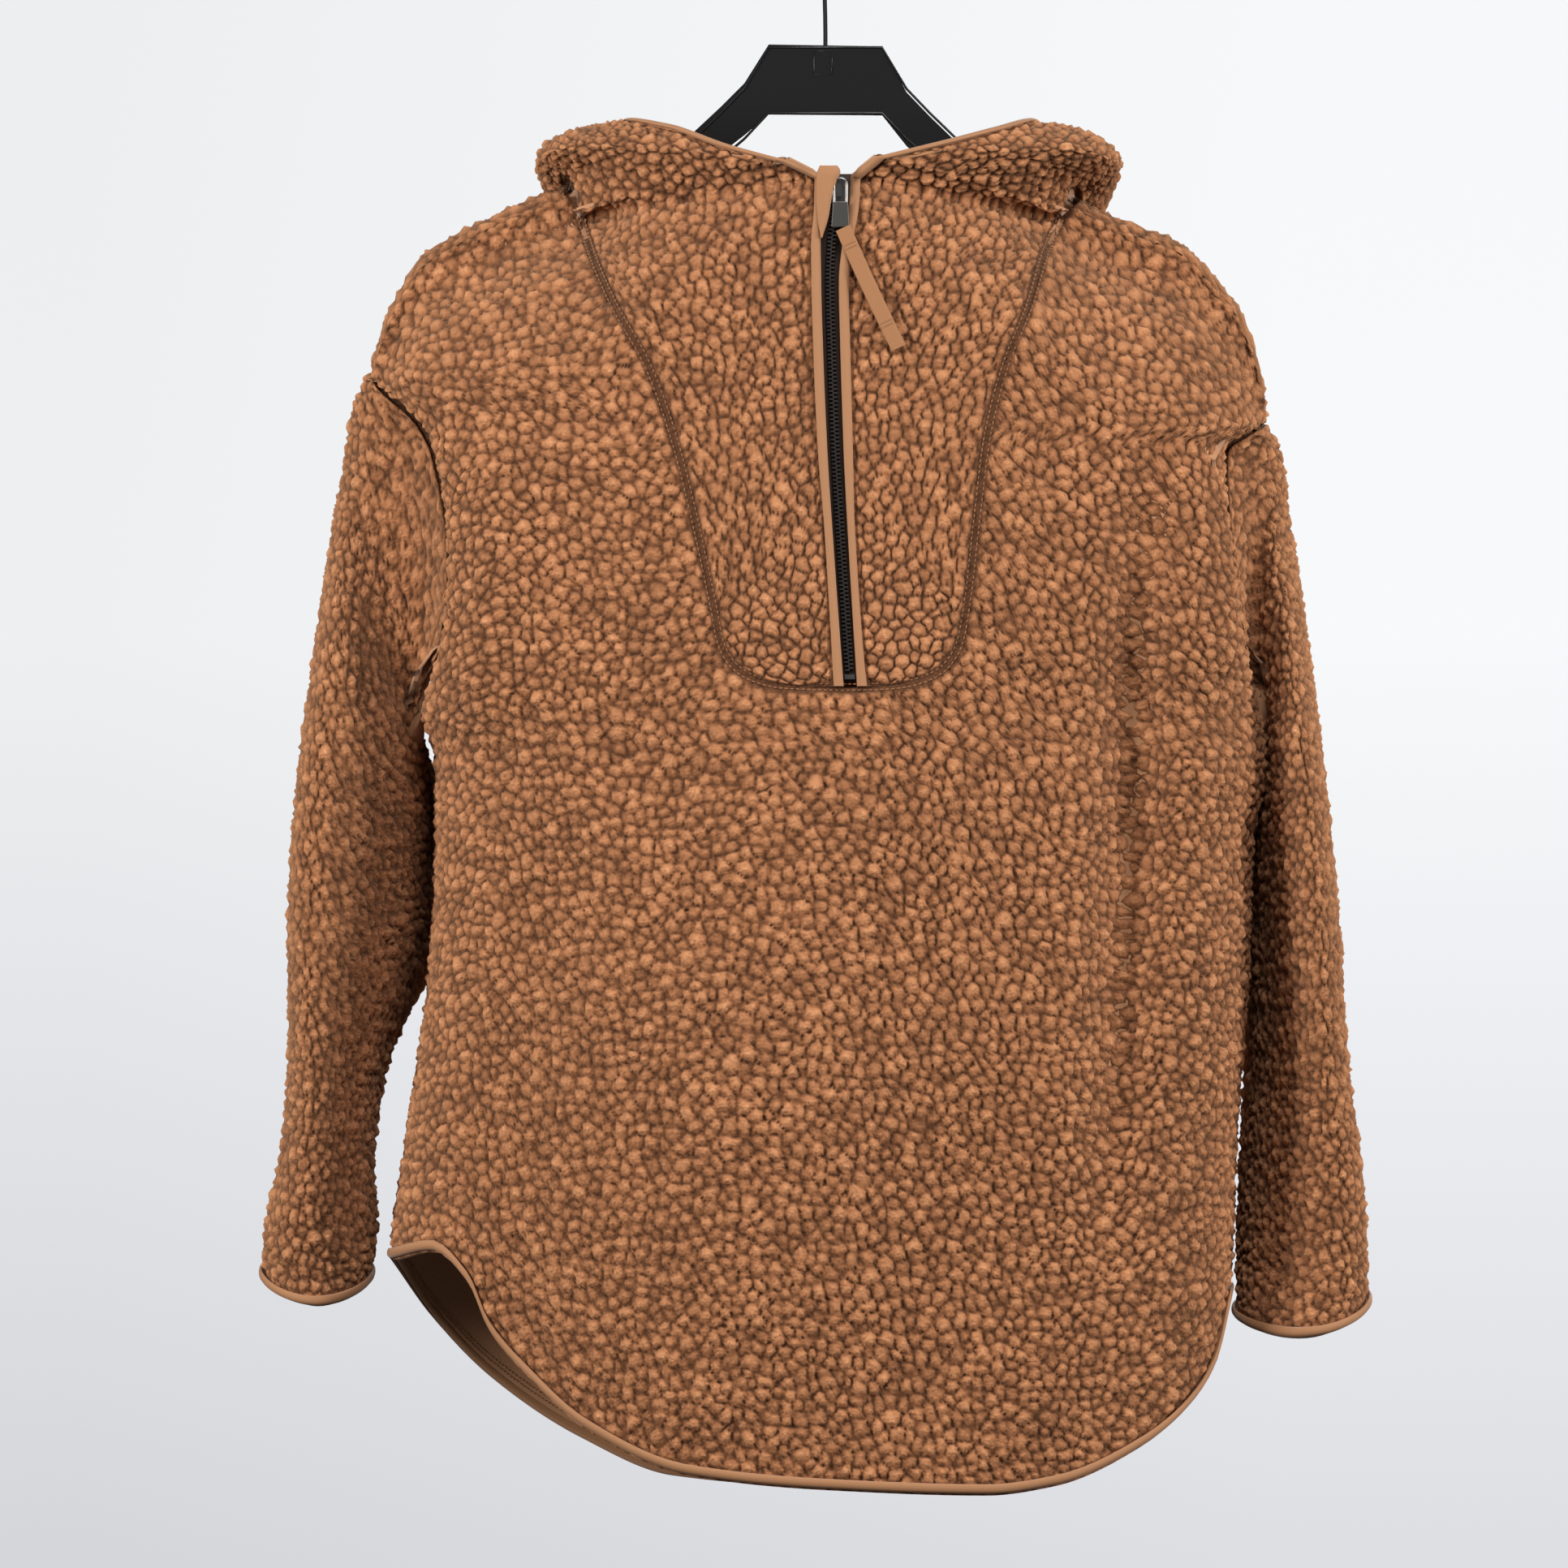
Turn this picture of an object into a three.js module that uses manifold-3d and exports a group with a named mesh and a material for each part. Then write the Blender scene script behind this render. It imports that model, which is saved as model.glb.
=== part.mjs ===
// Sherpa fleece half-zip pullover with a hood, hanging on a plain hanger.
// Millimetres. +Z is up, the front faces -Y, +X is to the right in the front view.
// The origin is the inside top of the hanger's hook. "down" is the distance below it.
import * as THREE from "three";
import Module from "manifold-3d";

const GAP = 0.3;
const CLEAR = 0.38;
const EDGE_CLEAR = 0.8;
const WALL = 6;
const HOOD_WALL = 5;
const BINDING_WIDTH = 5.4;
const BINDING_CLOTH = 1.1;
const BOUND_TRIM = 1.7;
const BOUND_END = 1.6;
const FOLD_RADIUS = 14;
const FOLD_Y = 0;
const SEAM_ANGLE = (150 * Math.PI) / 180;
const BODY_SQUARE = 0.62;
const SEAM_LAP = 3;

// Body as it hangs: edges of the panels and the farthest front and back, by height.
const BODY = [
  { down: 60, left: -254, right: 250, frontEdge: -12, front: -66, back: 26, backEdge: 12 },
  { down: 160, left: -254, right: 250, frontEdge: -12, front: -72, back: 32, backEdge: 12 },
  { down: 255, left: -254, right: 250, frontEdge: -14, front: -80, back: 48, backEdge: 16 },
  { down: 285, left: -226, right: 245, frontEdge: -24, front: -83, back: 54, backEdge: 28 },
  { down: 300, left: -219, right: 223, frontEdge: -34, front: -85, back: 58, backEdge: 38 },
  { down: 365, left: -211, right: 229, frontEdge: -46, front: -91, back: 70, backEdge: 50 },
  { down: 410, left: -216, right: 235, frontEdge: -36, front: -96, back: 77, backEdge: 44 },
  { down: 447, left: -226, right: 243, frontEdge: -4, front: -99, back: 81, backEdge: 12 },
  { down: 468, left: -219, right: 248, frontEdge: 4, front: -101, back: 83, backEdge: 4 },
  { down: 520, left: -218, right: 239, frontEdge: 5, front: -104, back: 87, backEdge: 5 },
  { down: 590, left: -222, right: 235, frontEdge: 5, front: -107, back: 90, backEdge: 5 },
  { down: 680, left: -234, right: 228, frontEdge: 5, front: -108, back: 92, backEdge: 5 },
  { down: 750, left: -243, right: 225, frontEdge: 5, front: -107, back: 92, backEdge: 5 },
  { down: 890, left: -243, right: 219, frontEdge: 5, front: -102, back: 88, backEdge: 5 },
];

// Top outline of the shoulders, by x; the middle is inside the neck and is cut away.
const SHOULDER = [
  { x: -254, down: 252 },
  { x: -245, down: 223 },
  { x: -233, down: 202 },
  { x: -226, down: 191 },
  { x: -210, down: 180 },
  { x: -190, down: 170 },
  { x: -159, down: 156 },
  { x: -131, down: 146 },
  { x: -105, down: 120 },
  { x: 0, down: 60 },
  { x: 100, down: 125 },
  { x: 128, down: 150 },
  { x: 163, down: 169 },
  { x: 200, down: 184 },
  { x: 217, down: 202 },
  { x: 230, down: 218 },
  { x: 239, down: 240 },
  { x: 246, down: 266 },
  { x: 250, down: 281 },
];

// Hem of each panel by the part of the width across, 0 at the left side seam and 1 at the right one.
const FRONT_HEM = [
  { across: 0, down: 749 },
  { across: 0.05, down: 744 },
  { across: 0.095, down: 762 },
  { across: 0.12, down: 788 },
  { across: 0.17, down: 815 },
  { across: 0.235, down: 842 },
  { across: 0.36, down: 868 },
  { across: 0.53, down: 876 },
  { across: 0.72, down: 879 },
  { across: 0.8, down: 874 },
  { across: 0.9, down: 853 },
  { across: 0.96, down: 828 },
  { across: 0.985, down: 806 },
  { across: 1, down: 768 },
];
const BACK_HEM = [
  { across: 0, down: 749 },
  { across: 0.05, down: 782 },
  { across: 0.12, down: 815 },
  { across: 0.23, down: 849 },
  { across: 0.34, down: 870 },
  { across: 0.5, down: 876 },
  { across: 0.72, down: 877 },
  { across: 0.85, down: 862 },
  { across: 0.95, down: 815 },
  { across: 1, down: 768 },
];

// Half of the bib's seam in the front view, left and right of the zip.
const BIB_SEAM = [
  { down: 100, left: -140, right: 136 },
  { down: 152, left: -140, right: 136 },
  { down: 170, left: -136, right: 131 },
  { down: 190, left: -130, right: 122 },
  { down: 220, left: -117, right: 113 },
  { down: 252, left: -99, right: 100 },
  { down: 290, left: -85, right: 90 },
  { down: 336, left: -73, right: 84 },
  { down: 387, left: -62, right: 78 },
  { down: 410, left: -57, right: 73 },
  { down: 422, left: -48, right: 64 },
  { down: 429, left: -32, right: 48 },
  { down: 431, left: -10, right: 30 },
];
const BACK_NECK = [
  { x: -140, down: 100 },
  { x: -140, down: 158 },
  { x: -134, down: 170 },
  { x: -112, down: 184 },
  { x: -70, down: 194 },
  { x: 0, down: 198 },
  { x: 68, down: 194 },
  { x: 108, down: 184 },
  { x: 130, down: 170 },
  { x: 136, down: 158 },
  { x: 136, down: 100 },
];

// Middle of the zip and half of the opening between its bindings.
const ZIP = [
  { down: 140, middle: 7, half: 7.5 },
  { down: 165, middle: 6, half: 7 },
  { down: 185, middle: 3.4, half: 6 },
  { down: 206, middle: 2.5, half: 4.9 },
  { down: 243, middle: 3.4, half: 4.8 },
  { down: 300, middle: 5.5, half: 4.5 },
  { down: 360, middle: 9, half: 4.1 },
  { down: 435, middle: 14, half: 3.7 },
];
const ZIP_TOP = 146;
const ZIP_BOTTOM = 429;
const TAPE_TOP = 172;

// Soft troughs of the body: a line from one end to the other, how wide and how deep. Below 0 is a ridge.
const FRONT_FOLDS = [
  { x0: 186, down0: 290, x1: 167, down1: 390, width: 17, depth: 13 },
  { x0: 167, down0: 390, x1: 165, down1: 500, width: 18, depth: 16 },
  { x0: 165, down0: 500, x1: 148, down1: 585, width: 20, depth: 7 },
  { x0: 214, down0: 330, x1: 222, down1: 470, width: 22, depth: -7 },
  { x0: -150, down0: 350, x1: -95, down1: 480, width: 26, depth: 5 },
  { x0: -188, down0: 330, x1: -196, down1: 440, width: 18, depth: -5 },
  { x0: -160, down0: 560, x1: -175, down1: 800, width: 26, depth: 6 },
  { x0: -60, down0: 600, x1: -70, down1: 820, width: 30, depth: -5 },
  { x0: 40, down0: 560, x1: 50, down1: 820, width: 30, depth: 4 },
  { x0: 130, down0: 640, x1: 125, down1: 820, width: 28, depth: -4 },
];
const BACK_FOLDS = [
  { x0: -150, down0: 330, x1: -120, down1: 560, width: 24, depth: 10 },
  { x0: 150, down0: 330, x1: 125, down1: 600, width: 24, depth: 10 },
  { x0: -70, down0: 520, x1: -60, down1: 800, width: 34, depth: -6 },
  { x0: 60, down0: 560, x1: 75, down1: 800, width: 34, depth: -6 },
];

// Hood, by station from the top of the bib to the middle of the back: its seam, its open edge
// and how far the cloth between them swells. The swell hangs down as a bag behind.
const HOOD_LEFT = [
  { seamX: -139, seamY: -17, seamDown: 171, edgeX: -22, edgeY: -73, edgeDown: 139, outX: -4, outY: -10, outDown: -2 },
  { seamX: -142, seamY: -7.7, seamDown: 151, edgeX: -52, edgeY: -66, edgeDown: 131, outX: -20, outY: -16, outDown: -3 },
  { seamX: -143, seamY: 2, seamDown: 149.3, edgeX: -84, edgeY: -50, edgeDown: 119.5, outX: -36, outY: -14, outDown: -2 },
  { seamX: -142.5, seamY: 12.5, seamDown: 155.6, edgeX: -105, edgeY: -24, edgeDown: 116, outX: -35, outY: 2, outDown: -6 },
  { seamX: -127, seamY: 17.3, seamDown: 178, edgeX: -116, edgeY: 22, edgeDown: 129, outX: -34, outY: 36, outDown: 0 },
  { seamX: -93, seamY: 28.5, seamDown: 194, edgeX: -104, edgeY: 84, edgeDown: 160, outX: -30, outY: 38, outDown: 82 },
  { seamX: -48, seamY: 39.5, seamDown: 199, edgeX: -60, edgeY: 124, edgeDown: 186, outX: -12, outY: 22, outDown: 134 },
  { seamX: 0, seamY: 40.3, seamDown: 201, edgeX: 0, edgeY: 136, edgeDown: 194, outX: 0, outY: 16, outDown: 149 },
];
const HOOD_RIGHT = [
  { seamX: 134, seamY: -15.5, seamDown: 171, edgeX: 28, edgeY: -73, edgeDown: 137, outX: 4, outY: -12, outDown: 0 },
  { seamX: 138, seamY: -7.7, seamDown: 156.3, edgeX: 62, edgeY: -68, edgeDown: 129, outX: 18, outY: -20, outDown: -2 },
  { seamX: 139, seamY: 2, seamDown: 155, edgeX: 92, edgeY: -54, edgeDown: 121, outX: 38, outY: -18, outDown: -2 },
  { seamX: 138.5, seamY: 12.5, seamDown: 161, edgeX: 111, edgeY: -24, edgeDown: 116, outX: 39, outY: 0, outDown: -5 },
  { seamX: 127, seamY: 16.2, seamDown: 177.5, edgeX: 118, edgeY: 22, edgeDown: 127, outX: 38, outY: 36, outDown: 0 },
  { seamX: 93, seamY: 28, seamDown: 193, edgeX: 104, edgeY: 84, edgeDown: 160, outX: 30, outY: 38, outDown: 82 },
  { seamX: 46, seamY: 39.5, seamDown: 199, edgeX: 58, edgeY: 124, edgeDown: 186, outX: 12, outY: 22, outDown: 134 },
  { seamX: 0, seamY: 40.3, seamDown: 201, edgeX: 0, edgeY: 136, edgeDown: 194, outX: 0, outY: 16, outDown: 149 },
];

// Sleeve rings below the armhole: the outer, front, inner and back point of each.
const SLEEVE_LEFT = [
  { outX: -263, outY: 2, outDown: 272, frontX: -227, frontY: -22, frontDown: 366, inX: -234, inY: 6, inDown: 460, backX: -229, backY: 52, backDown: 360 },
  { outX: -270, outY: 4, outDown: 312, frontX: -244, frontY: -22, frontDown: 388, inX: -240, inY: 8, inDown: 472, backX: -247, backY: 60, backDown: 380 },
  { outX: -279, outY: 4, outDown: 364, frontX: -258, frontY: -42, frontDown: 418, inX: -236, inY: 14, inDown: 484, backX: -258, backY: 66, backDown: 408 },
  { outX: -286, outY: 6, outDown: 422, frontX: -269, frontY: -54, frontDown: 455, inX: -230, inY: 26, inDown: 502, backX: -258, backY: 72, backDown: 450 },
  { outX: -292, outY: 6, outDown: 490, frontX: -277, frontY: -58, frontDown: 508, inX: -227, inY: 38, inDown: 540, backX: -254, backY: 80, backDown: 512 },
  { outX: -296, outY: 8, outDown: 565, frontX: -280, frontY: -56, frontDown: 572, inX: -228, inY: 44, inDown: 578, backX: -252, backY: 84, backDown: 572 },
  { outX: -298, outY: 6, outDown: 632, frontX: -281, frontY: -50, frontDown: 638, inX: -244, inY: 34, inDown: 640, backX: -262, backY: 72, backDown: 634 },
  { outX: -303, outY: 2, outDown: 686, frontX: -284, frontY: -46, frontDown: 694, inX: -250, inY: 22, inDown: 692, backX: -268, backY: 60, backDown: 686 },
  { outX: -312, outY: 0, outDown: 730, frontX: -288, frontY: -43, frontDown: 744, inX: -248, inY: 14, inDown: 736, backX: -273, backY: 50, backDown: 729 },
  { outX: -314, outY: -2, outDown: 757, frontX: -284, frontY: -44, frontDown: 774, inX: -251, inY: 6, inDown: 760, backX: -277, backY: 42, backDown: 752 },
];
const SLEEVE_RIGHT = [
  { outX: 254, outY: 2, outDown: 298, frontX: 237, frontY: -26, frontDown: 374, inX: 250, inY: 6, inDown: 462, backX: 241, backY: 52, backDown: 366 },
  { outX: 259, outY: 4, outDown: 336, frontX: 244, frontY: -32, frontDown: 396, inX: 256, inY: 10, inDown: 478, backX: 251, backY: 60, backDown: 388 },
  { outX: 266, outY: 4, outDown: 380, frontX: 252, frontY: -44, frontDown: 426, inX: 254, inY: 18, inDown: 492, backX: 257, backY: 66, backDown: 414 },
  { outX: 273, outY: 6, outDown: 432, frontX: 258, frontY: -50, frontDown: 462, inX: 249, inY: 32, inDown: 510, backX: 257, backY: 74, backDown: 454 },
  { outX: 280, outY: 6, outDown: 494, frontX: 264, frontY: -52, frontDown: 514, inX: 244, inY: 42, inDown: 545, backX: 254, backY: 82, backDown: 516 },
  { outX: 286, outY: 8, outDown: 567, frontX: 269, frontY: -48, frontDown: 578, inX: 241, inY: 48, inDown: 586, backX: 252, backY: 84, backDown: 576 },
  { outX: 290, outY: 6, outDown: 634, frontX: 272, frontY: -40, frontDown: 646, inX: 237, inY: 44, inDown: 646, backX: 254, backY: 76, backDown: 640 },
  { outX: 297, outY: 2, outDown: 686, frontX: 275, frontY: -36, frontDown: 700, inX: 233, inY: 34, inDown: 698, backX: 257, backY: 66, backDown: 690 },
  { outX: 301, outY: 0, outDown: 732, frontX: 276, frontY: -36, frontDown: 750, inX: 230, inY: 22, inDown: 744, backX: 261, backY: 57, backDown: 737 },
  { outX: 303, outY: -2, outDown: 772, frontX: 270, frontY: -40, frontDown: 791, inX: 228, inY: 8, inDown: 780, backX: 263, backY: 46, backDown: 770 },
];

// Hanger: upper and lower edge of the plate by the distance from the middle; it hangs a little lower on the right.
const HANGER = [
  { x: 31.5, leftTop: 74.5, leftBottom: 113.5, rightTop: 75.5, rightBottom: 114 },
  { x: 45, leftTop: 96, leftBottom: 125, rightTop: 101, rightBottom: 131 },
  { x: 58, leftTop: 109, leftBottom: 135, rightTop: 114.5, rightBottom: 143 },
  { x: 73, leftTop: 123, leftBottom: 147, rightTop: 129, rightBottom: 155 },
  { x: 98, leftTop: 142, leftBottom: 163, rightTop: 148, rightBottom: 169 },
  { x: 128, leftTop: 155, leftBottom: 176, rightTop: 162.8, rightBottom: 185 },
  { x: 162, leftTop: 167.1, leftBottom: 188, rightTop: 178.6, rightBottom: 201 },
  { x: 192, leftTop: 180.3, leftBottom: 200, rightTop: 191.2, rightBottom: 211 },
  { x: 206, leftTop: 189.4, leftBottom: 205, rightTop: 202.4, rightBottom: 214 },
  { x: 211, leftTop: 193.2, leftBottom: 203, rightTop: 206.6, rightBottom: 212 },
];
const HANGER_THICK = 9;
const HOOK_WIRE = 1.2;
const HOOK_INSIDE = 17;
const HOOK_STEM_END = 80;

const SLIDER = { down: 156, wide: 9, long: 15, thick: 3.6, side: 0.9, ahead: -0.6 };
const BRIDGE = { wide: 3, long: 7, rise: 4, hole: 2.6, pin: 1.4 };
const PULL = { wide: 8.2, long: 20, thick: 1.4, window: 5.4, windowLong: 7 };
const RIBBON = { fromX: 9.4, fromDown: 171, toX: 40.5, toDown: 243.5, wide: 8.6, thick: 1.4, ahead: 3.2 };
const GARAGE = { top: 143, tip: 183, left: -7, right: 3.2, tipX: -2, near: 2.1, far: 0.5 };

const wasm = await Module();
wasm.setup();

// Smooth curve through the rows of a table: one column against another, without overshoot.
function track(rows, at, of) {
  const x = rows.map((row) => row[at]);
  const y = rows.map((row) => row[of]);
  const step = x.slice(1).map((value, i) => value - x[i]);
  const rise = step.map((length, i) => (y[i + 1] - y[i]) / length);
  const slope = x.map((_, i) => {
    if (i === 0) return rise[0];
    if (i === x.length - 1) return rise[i - 1];
    if (rise[i - 1] * rise[i] <= 0) return 0;
    const before = 2 * step[i] + step[i - 1];
    const after = step[i] + 2 * step[i - 1];
    return (before + after) / (before / rise[i - 1] + after / rise[i]);
  });
  return (value) => {
    let i = 0;
    while (i < step.length - 1 && value > x[i + 1]) i += 1;
    const t = Math.min(1, Math.max(0, (value - x[i]) / step[i]));
    const h = step[i];
    return (
      (1 + 2 * t) * (1 - t) ** 2 * y[i] +
      t * (1 - t) ** 2 * h * slope[i] +
      t * t * (3 - 2 * t) * y[i + 1] +
      t * t * (t - 1) * h * slope[i + 1]
    );
  };
}

const ease = (t) => {
  const s = Math.min(1, Math.max(0, t));
  return s * s * (3 - 2 * s);
};

const body = Object.fromEntries(
  ["left", "right", "frontEdge", "front", "back", "backEdge"].map((name) => [name, track(BODY, "down", name)]),
);
const shoulder = track(SHOULDER, "x", "down");
const frontHem = track(FRONT_HEM, "across", "down");
const backHem = track(BACK_HEM, "across", "down");
const zipMiddle = track(ZIP, "down", "middle");
const zipHalf = track(ZIP, "down", "half");

function foldDepth(folds, x, down) {
  let sum = 0;
  for (const fold of folds) {
    const ax = fold.x1 - fold.x0;
    const ad = fold.down1 - fold.down0;
    const length2 = ax * ax + ad * ad;
    const t = ((x - fold.x0) * ax + (down - fold.down0) * ad) / length2;
    const s = Math.min(1, Math.max(0, t));
    const away = Math.hypot(x - fold.x0 - s * ax, down - fold.down0 - s * ad);
    sum += fold.depth * Math.exp(-((away / fold.width) ** 2));
  }
  return sum;
}

// How full the section is at x: 0 at a side seam, 1 in the middle.
function fullness(x, down) {
  const across = (x - body.left(down)) / (body.right(down) - body.left(down));
  const a = Math.min(1, Math.max(0, across));
  return (2 * Math.sqrt(a * (1 - a))) ** BODY_SQUARE;
}

function frontY(x, down) {
  const start = shoulder(x) + FOLD_RADIUS;
  if (down < start) {
    return FOLD_Y - Math.sqrt(Math.max(0, FOLD_RADIUS ** 2 - (start - down) ** 2));
  }
  const full = fullness(x, down);
  const section = body.frontEdge(down) + (body.front(down) - body.frontEdge(down)) * full;
  const folded = section + foldDepth(FRONT_FOLDS, x, down) * full;
  const top = FOLD_Y - FOLD_RADIUS;
  return top + (folded - top) * ease((down - start + 25) / 125) ** 0.8 * ease((down - start) / 40 + 0.02);
}

function backY(x, down) {
  const start = shoulder(x) + FOLD_RADIUS;
  const full = fullness(x, down);
  const section = body.backEdge(down) + (body.back(down) - body.backEdge(down)) * full;
  const folded = section - foldDepth(BACK_FOLDS, x, down) * full;
  const top = FOLD_Y + FOLD_RADIUS;
  return top + (folded - top) * ease((down - start) / 110);
}

const bodyX = (turn, down) =>
  body.left(down) + ((body.right(down) - body.left(down)) * (1 - Math.cos(Math.PI * turn))) / 2;

const point = (x, y, down) => new THREE.Vector3(x, y, -down);

function frontPoint(turn, part) {
  const across = (1 - Math.cos(Math.PI * turn)) / 2;
  const top = shoulder(bodyX(turn, 200)) + FOLD_RADIUS * (1 - Math.sin(SEAM_ANGLE));
  const down = top + (frontHem(across) - top) * part;
  const x = bodyX(turn, down);
  return point(x, frontY(x, down), down);
}

function backPoint(turn, part) {
  const across = (1 - Math.cos(Math.PI * turn)) / 2;
  const top = shoulder(bodyX(turn, 200)) + FOLD_RADIUS;
  const arc = FOLD_RADIUS * SEAM_ANGLE;
  const along = part * (arc + backHem(across) - top);
  if (along < arc) {
    const angle = SEAM_ANGLE - along / FOLD_RADIUS;
    const down = top - FOLD_RADIUS * Math.sin(angle);
    return point(bodyX(turn, down), FOLD_Y + FOLD_RADIUS * Math.cos(angle), down);
  }
  const down = top + along - arc;
  const x = bodyX(turn, down);
  return point(x, backY(x, down), down);
}

// Part of a row at a distance before its end, measured along the cloth.
function partBefore(place, inside) {
  const step = 0.001;
  let part = 1;
  let run = 0;
  let last = place(1);
  while (run < inside && part > step) {
    part -= step;
    const next = place(part);
    run += next.distanceTo(last);
    last = next;
  }
  return part;
}

// Parts of a row of cloth from its start to a bound edge: even steps, then the two rows in the binding.
function boundParts(place, count, lead = []) {
  const under = [BINDING_WIDTH + 2.6, BINDING_WIDTH + 0.6, BOUND_END].map((inside) => partBefore(place, inside));
  const first = lead.length ? lead[lead.length - 1] : 0;
  const parts = even(count - 1, first, under[0]);
  return [...lead.slice(0, -1), ...parts, under[1], under[2]];
}

function grid(columns, place, parts) {
  return columns.map((column) => parts(column).map((part) => place(column, part)));
}

const even = (count, from = 0, to = 1) => Array.from({ length: count + 1 }, (_, i) => from + ((to - from) * i) / count);

// Outward normals of a grid of points; around marks a grid that closes on itself.
function normals(points, around) {
  const last = points.length - 1;
  const end = points[0].length - 1;
  const column = (i) => (around ? points[(i + points.length) % points.length] : points[Math.min(last, Math.max(0, i))]);
  return points.map((row, i) =>
    row.map((_, j) => {
      const across = column(i + 1)[j].clone().sub(column(i - 1)[j]);
      const along = row[Math.min(end, j + 1)].clone().sub(row[Math.max(0, j - 1)]);
      return along.cross(across).normalize();
    }),
  );
}

function solid(vertices, faces) {
  const vertProperties = new Float32Array(vertices.length * 3);
  vertices.forEach((vertex, i) => vertex.toArray(vertProperties, i * 3));
  const triVerts = new Uint32Array(faces.flat());
  const made = new wasm.Manifold(new wasm.Mesh({ numProp: 3, vertProperties, triVerts }));
  if (made.volume() > 0) return made;
  const turned = new Uint32Array(faces.map(([a, b, c]) => [a, c, b]).flat());
  return new wasm.Manifold(new wasm.Mesh({ numProp: 3, vertProperties, triVerts: turned }));
}

// Cloth: the outer and inner side of a grid, closed all round. rim takes the rows in the binding thinner.
function wall(points, thick, { around = false, bound = false, grow = 0, flip = false } = {}) {
  const facing = normals(points, around);
  const rows = points[0].length;
  const sideways = flip ? -1 : 1;
    const vertices = [];
  for (const inner of [false, true]) {
    points.forEach((row, i) =>
      row.forEach((place, j) => {
        const trim = bound && j >= rows - 2 ? BOUND_TRIM : 0;
        const depth = inner ? thick - trim + grow : trim - grow;
        vertices.push(place.clone().addScaledVector(facing[i][j], -depth * sideways));
      }),
    );
  }
  const columns = points.length;
  const at = (i, j, inner) => (inner ? columns * rows : 0) + (i % columns) * rows + j;
  const faces = [];
  const quad = (a, b, c, d) => faces.push([a, b, c], [a, c, d]);
  const spans = around ? columns : columns - 1;
  for (let i = 0; i < spans; i += 1) {
    for (let j = 0; j < rows - 1; j += 1) {
      quad(at(i, j, false), at(i, j + 1, false), at(i + 1, j + 1, false), at(i + 1, j, false));
      quad(at(i, j, true), at(i + 1, j, true), at(i + 1, j + 1, true), at(i, j + 1, true));
    }
    quad(at(i, 0, false), at(i + 1, 0, false), at(i + 1, 0, true), at(i, 0, true));
    quad(at(i, rows - 1, false), at(i, rows - 1, true), at(i + 1, rows - 1, true), at(i + 1, rows - 1, false));
  }
  if (!around) {
    for (let j = 0; j < rows - 1; j += 1) {
      quad(at(0, j, false), at(0, j, true), at(0, j + 1, true), at(0, j + 1, false));
      quad(at(columns - 1, j, false), at(columns - 1, j + 1, false), at(columns - 1, j + 1, true), at(columns - 1, j, true));
    }
  }
  return solid(vertices, faces);
}

// Moves the edges of an open grid outward, so that a cutter reaches past them.
function spread(points, { start = 0, end = 0, sides = 0 }) {
  const push = (edge, next, amount) => edge.clone().add(edge.clone().sub(next).setLength(amount));
  const longer = points.map((row) => {
    const out = row.map((place) => place.clone());
    if (start) out[0] = push(row[0], row[1], start);
    if (end) out[row.length - 1] = push(row[row.length - 1], row[row.length - 2], end);
    return out;
  });
  if (sides) {
    const last = longer.length - 1;
    const first = longer[0].map((place, j) => push(place, longer[1][j], sides));
    const final = longer[last].map((place, j) => push(place, longer[last - 1][j], sides));
    longer[0] = first;
    longer[last] = final;
  }
  return longer;
}

// A prism through the whole depth over a shape in the front view.
function prism(outline, from, to) {
  const shape = outline.map(([x, down]) => new THREE.Vector2(x, -down));
  const turned = THREE.ShapeUtils.area(shape) < 0 ? shape.reverse() : shape;
  const faces = THREE.ShapeUtils.triangulateShape(turned, []);
  const vertices = [from, to].flatMap((y) => turned.map((corner) => new THREE.Vector3(corner.x, y, corner.y)));
  const n = turned.length;
  const sides = turned.flatMap((_, i) => {
    const next = (i + 1) % n;
    return [
      [i, n + next, next],
      [i, n + i, n + next],
    ];
  });
  return solid(vertices, [...faces.map(([a, b, c]) => [a, b, c]), ...faces.map(([a, b, c]) => [n + a, n + c, n + b]), ...sides]);
}

// Moves a run of [x, down] points sideways by an amount.
function shifted(outline, amount) {
  return outline.map(([x, down], i) => {
    const before = outline[Math.max(0, i - 1)];
    const after = outline[Math.min(outline.length - 1, i + 1)];
    const length = Math.hypot(after[0] - before[0], after[1] - before[1]);
    return [x + (amount * (after[1] - before[1])) / length, down - (amount * (after[0] - before[0])) / length];
  });
}

const bibOutline = [
  ...BIB_SEAM.map((row) => [row.left, row.down]),
  ...BIB_SEAM.map((row) => [row.right, row.down]).reverse(),
];
const neckOutline = BACK_NECK.map((row) => [row.x, row.down]);
const bibHole = (grow) => prism([...shifted(bibOutline, -grow), [140, 20], [-140, 20]], -200, 40);
const neckHole = (grow) => prism([...shifted(neckOutline, -grow), [140, 20], [-140, 20]], -60, 200);

const cube = (wide, thick, long, x, y, down) =>
  wasm.Manifold.cube([wide, thick, long], true).translate([x, y, -down]);

const biggest = (made) => made.decompose().sort((a, b) => b.volume() - a.volume())[0];

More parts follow.
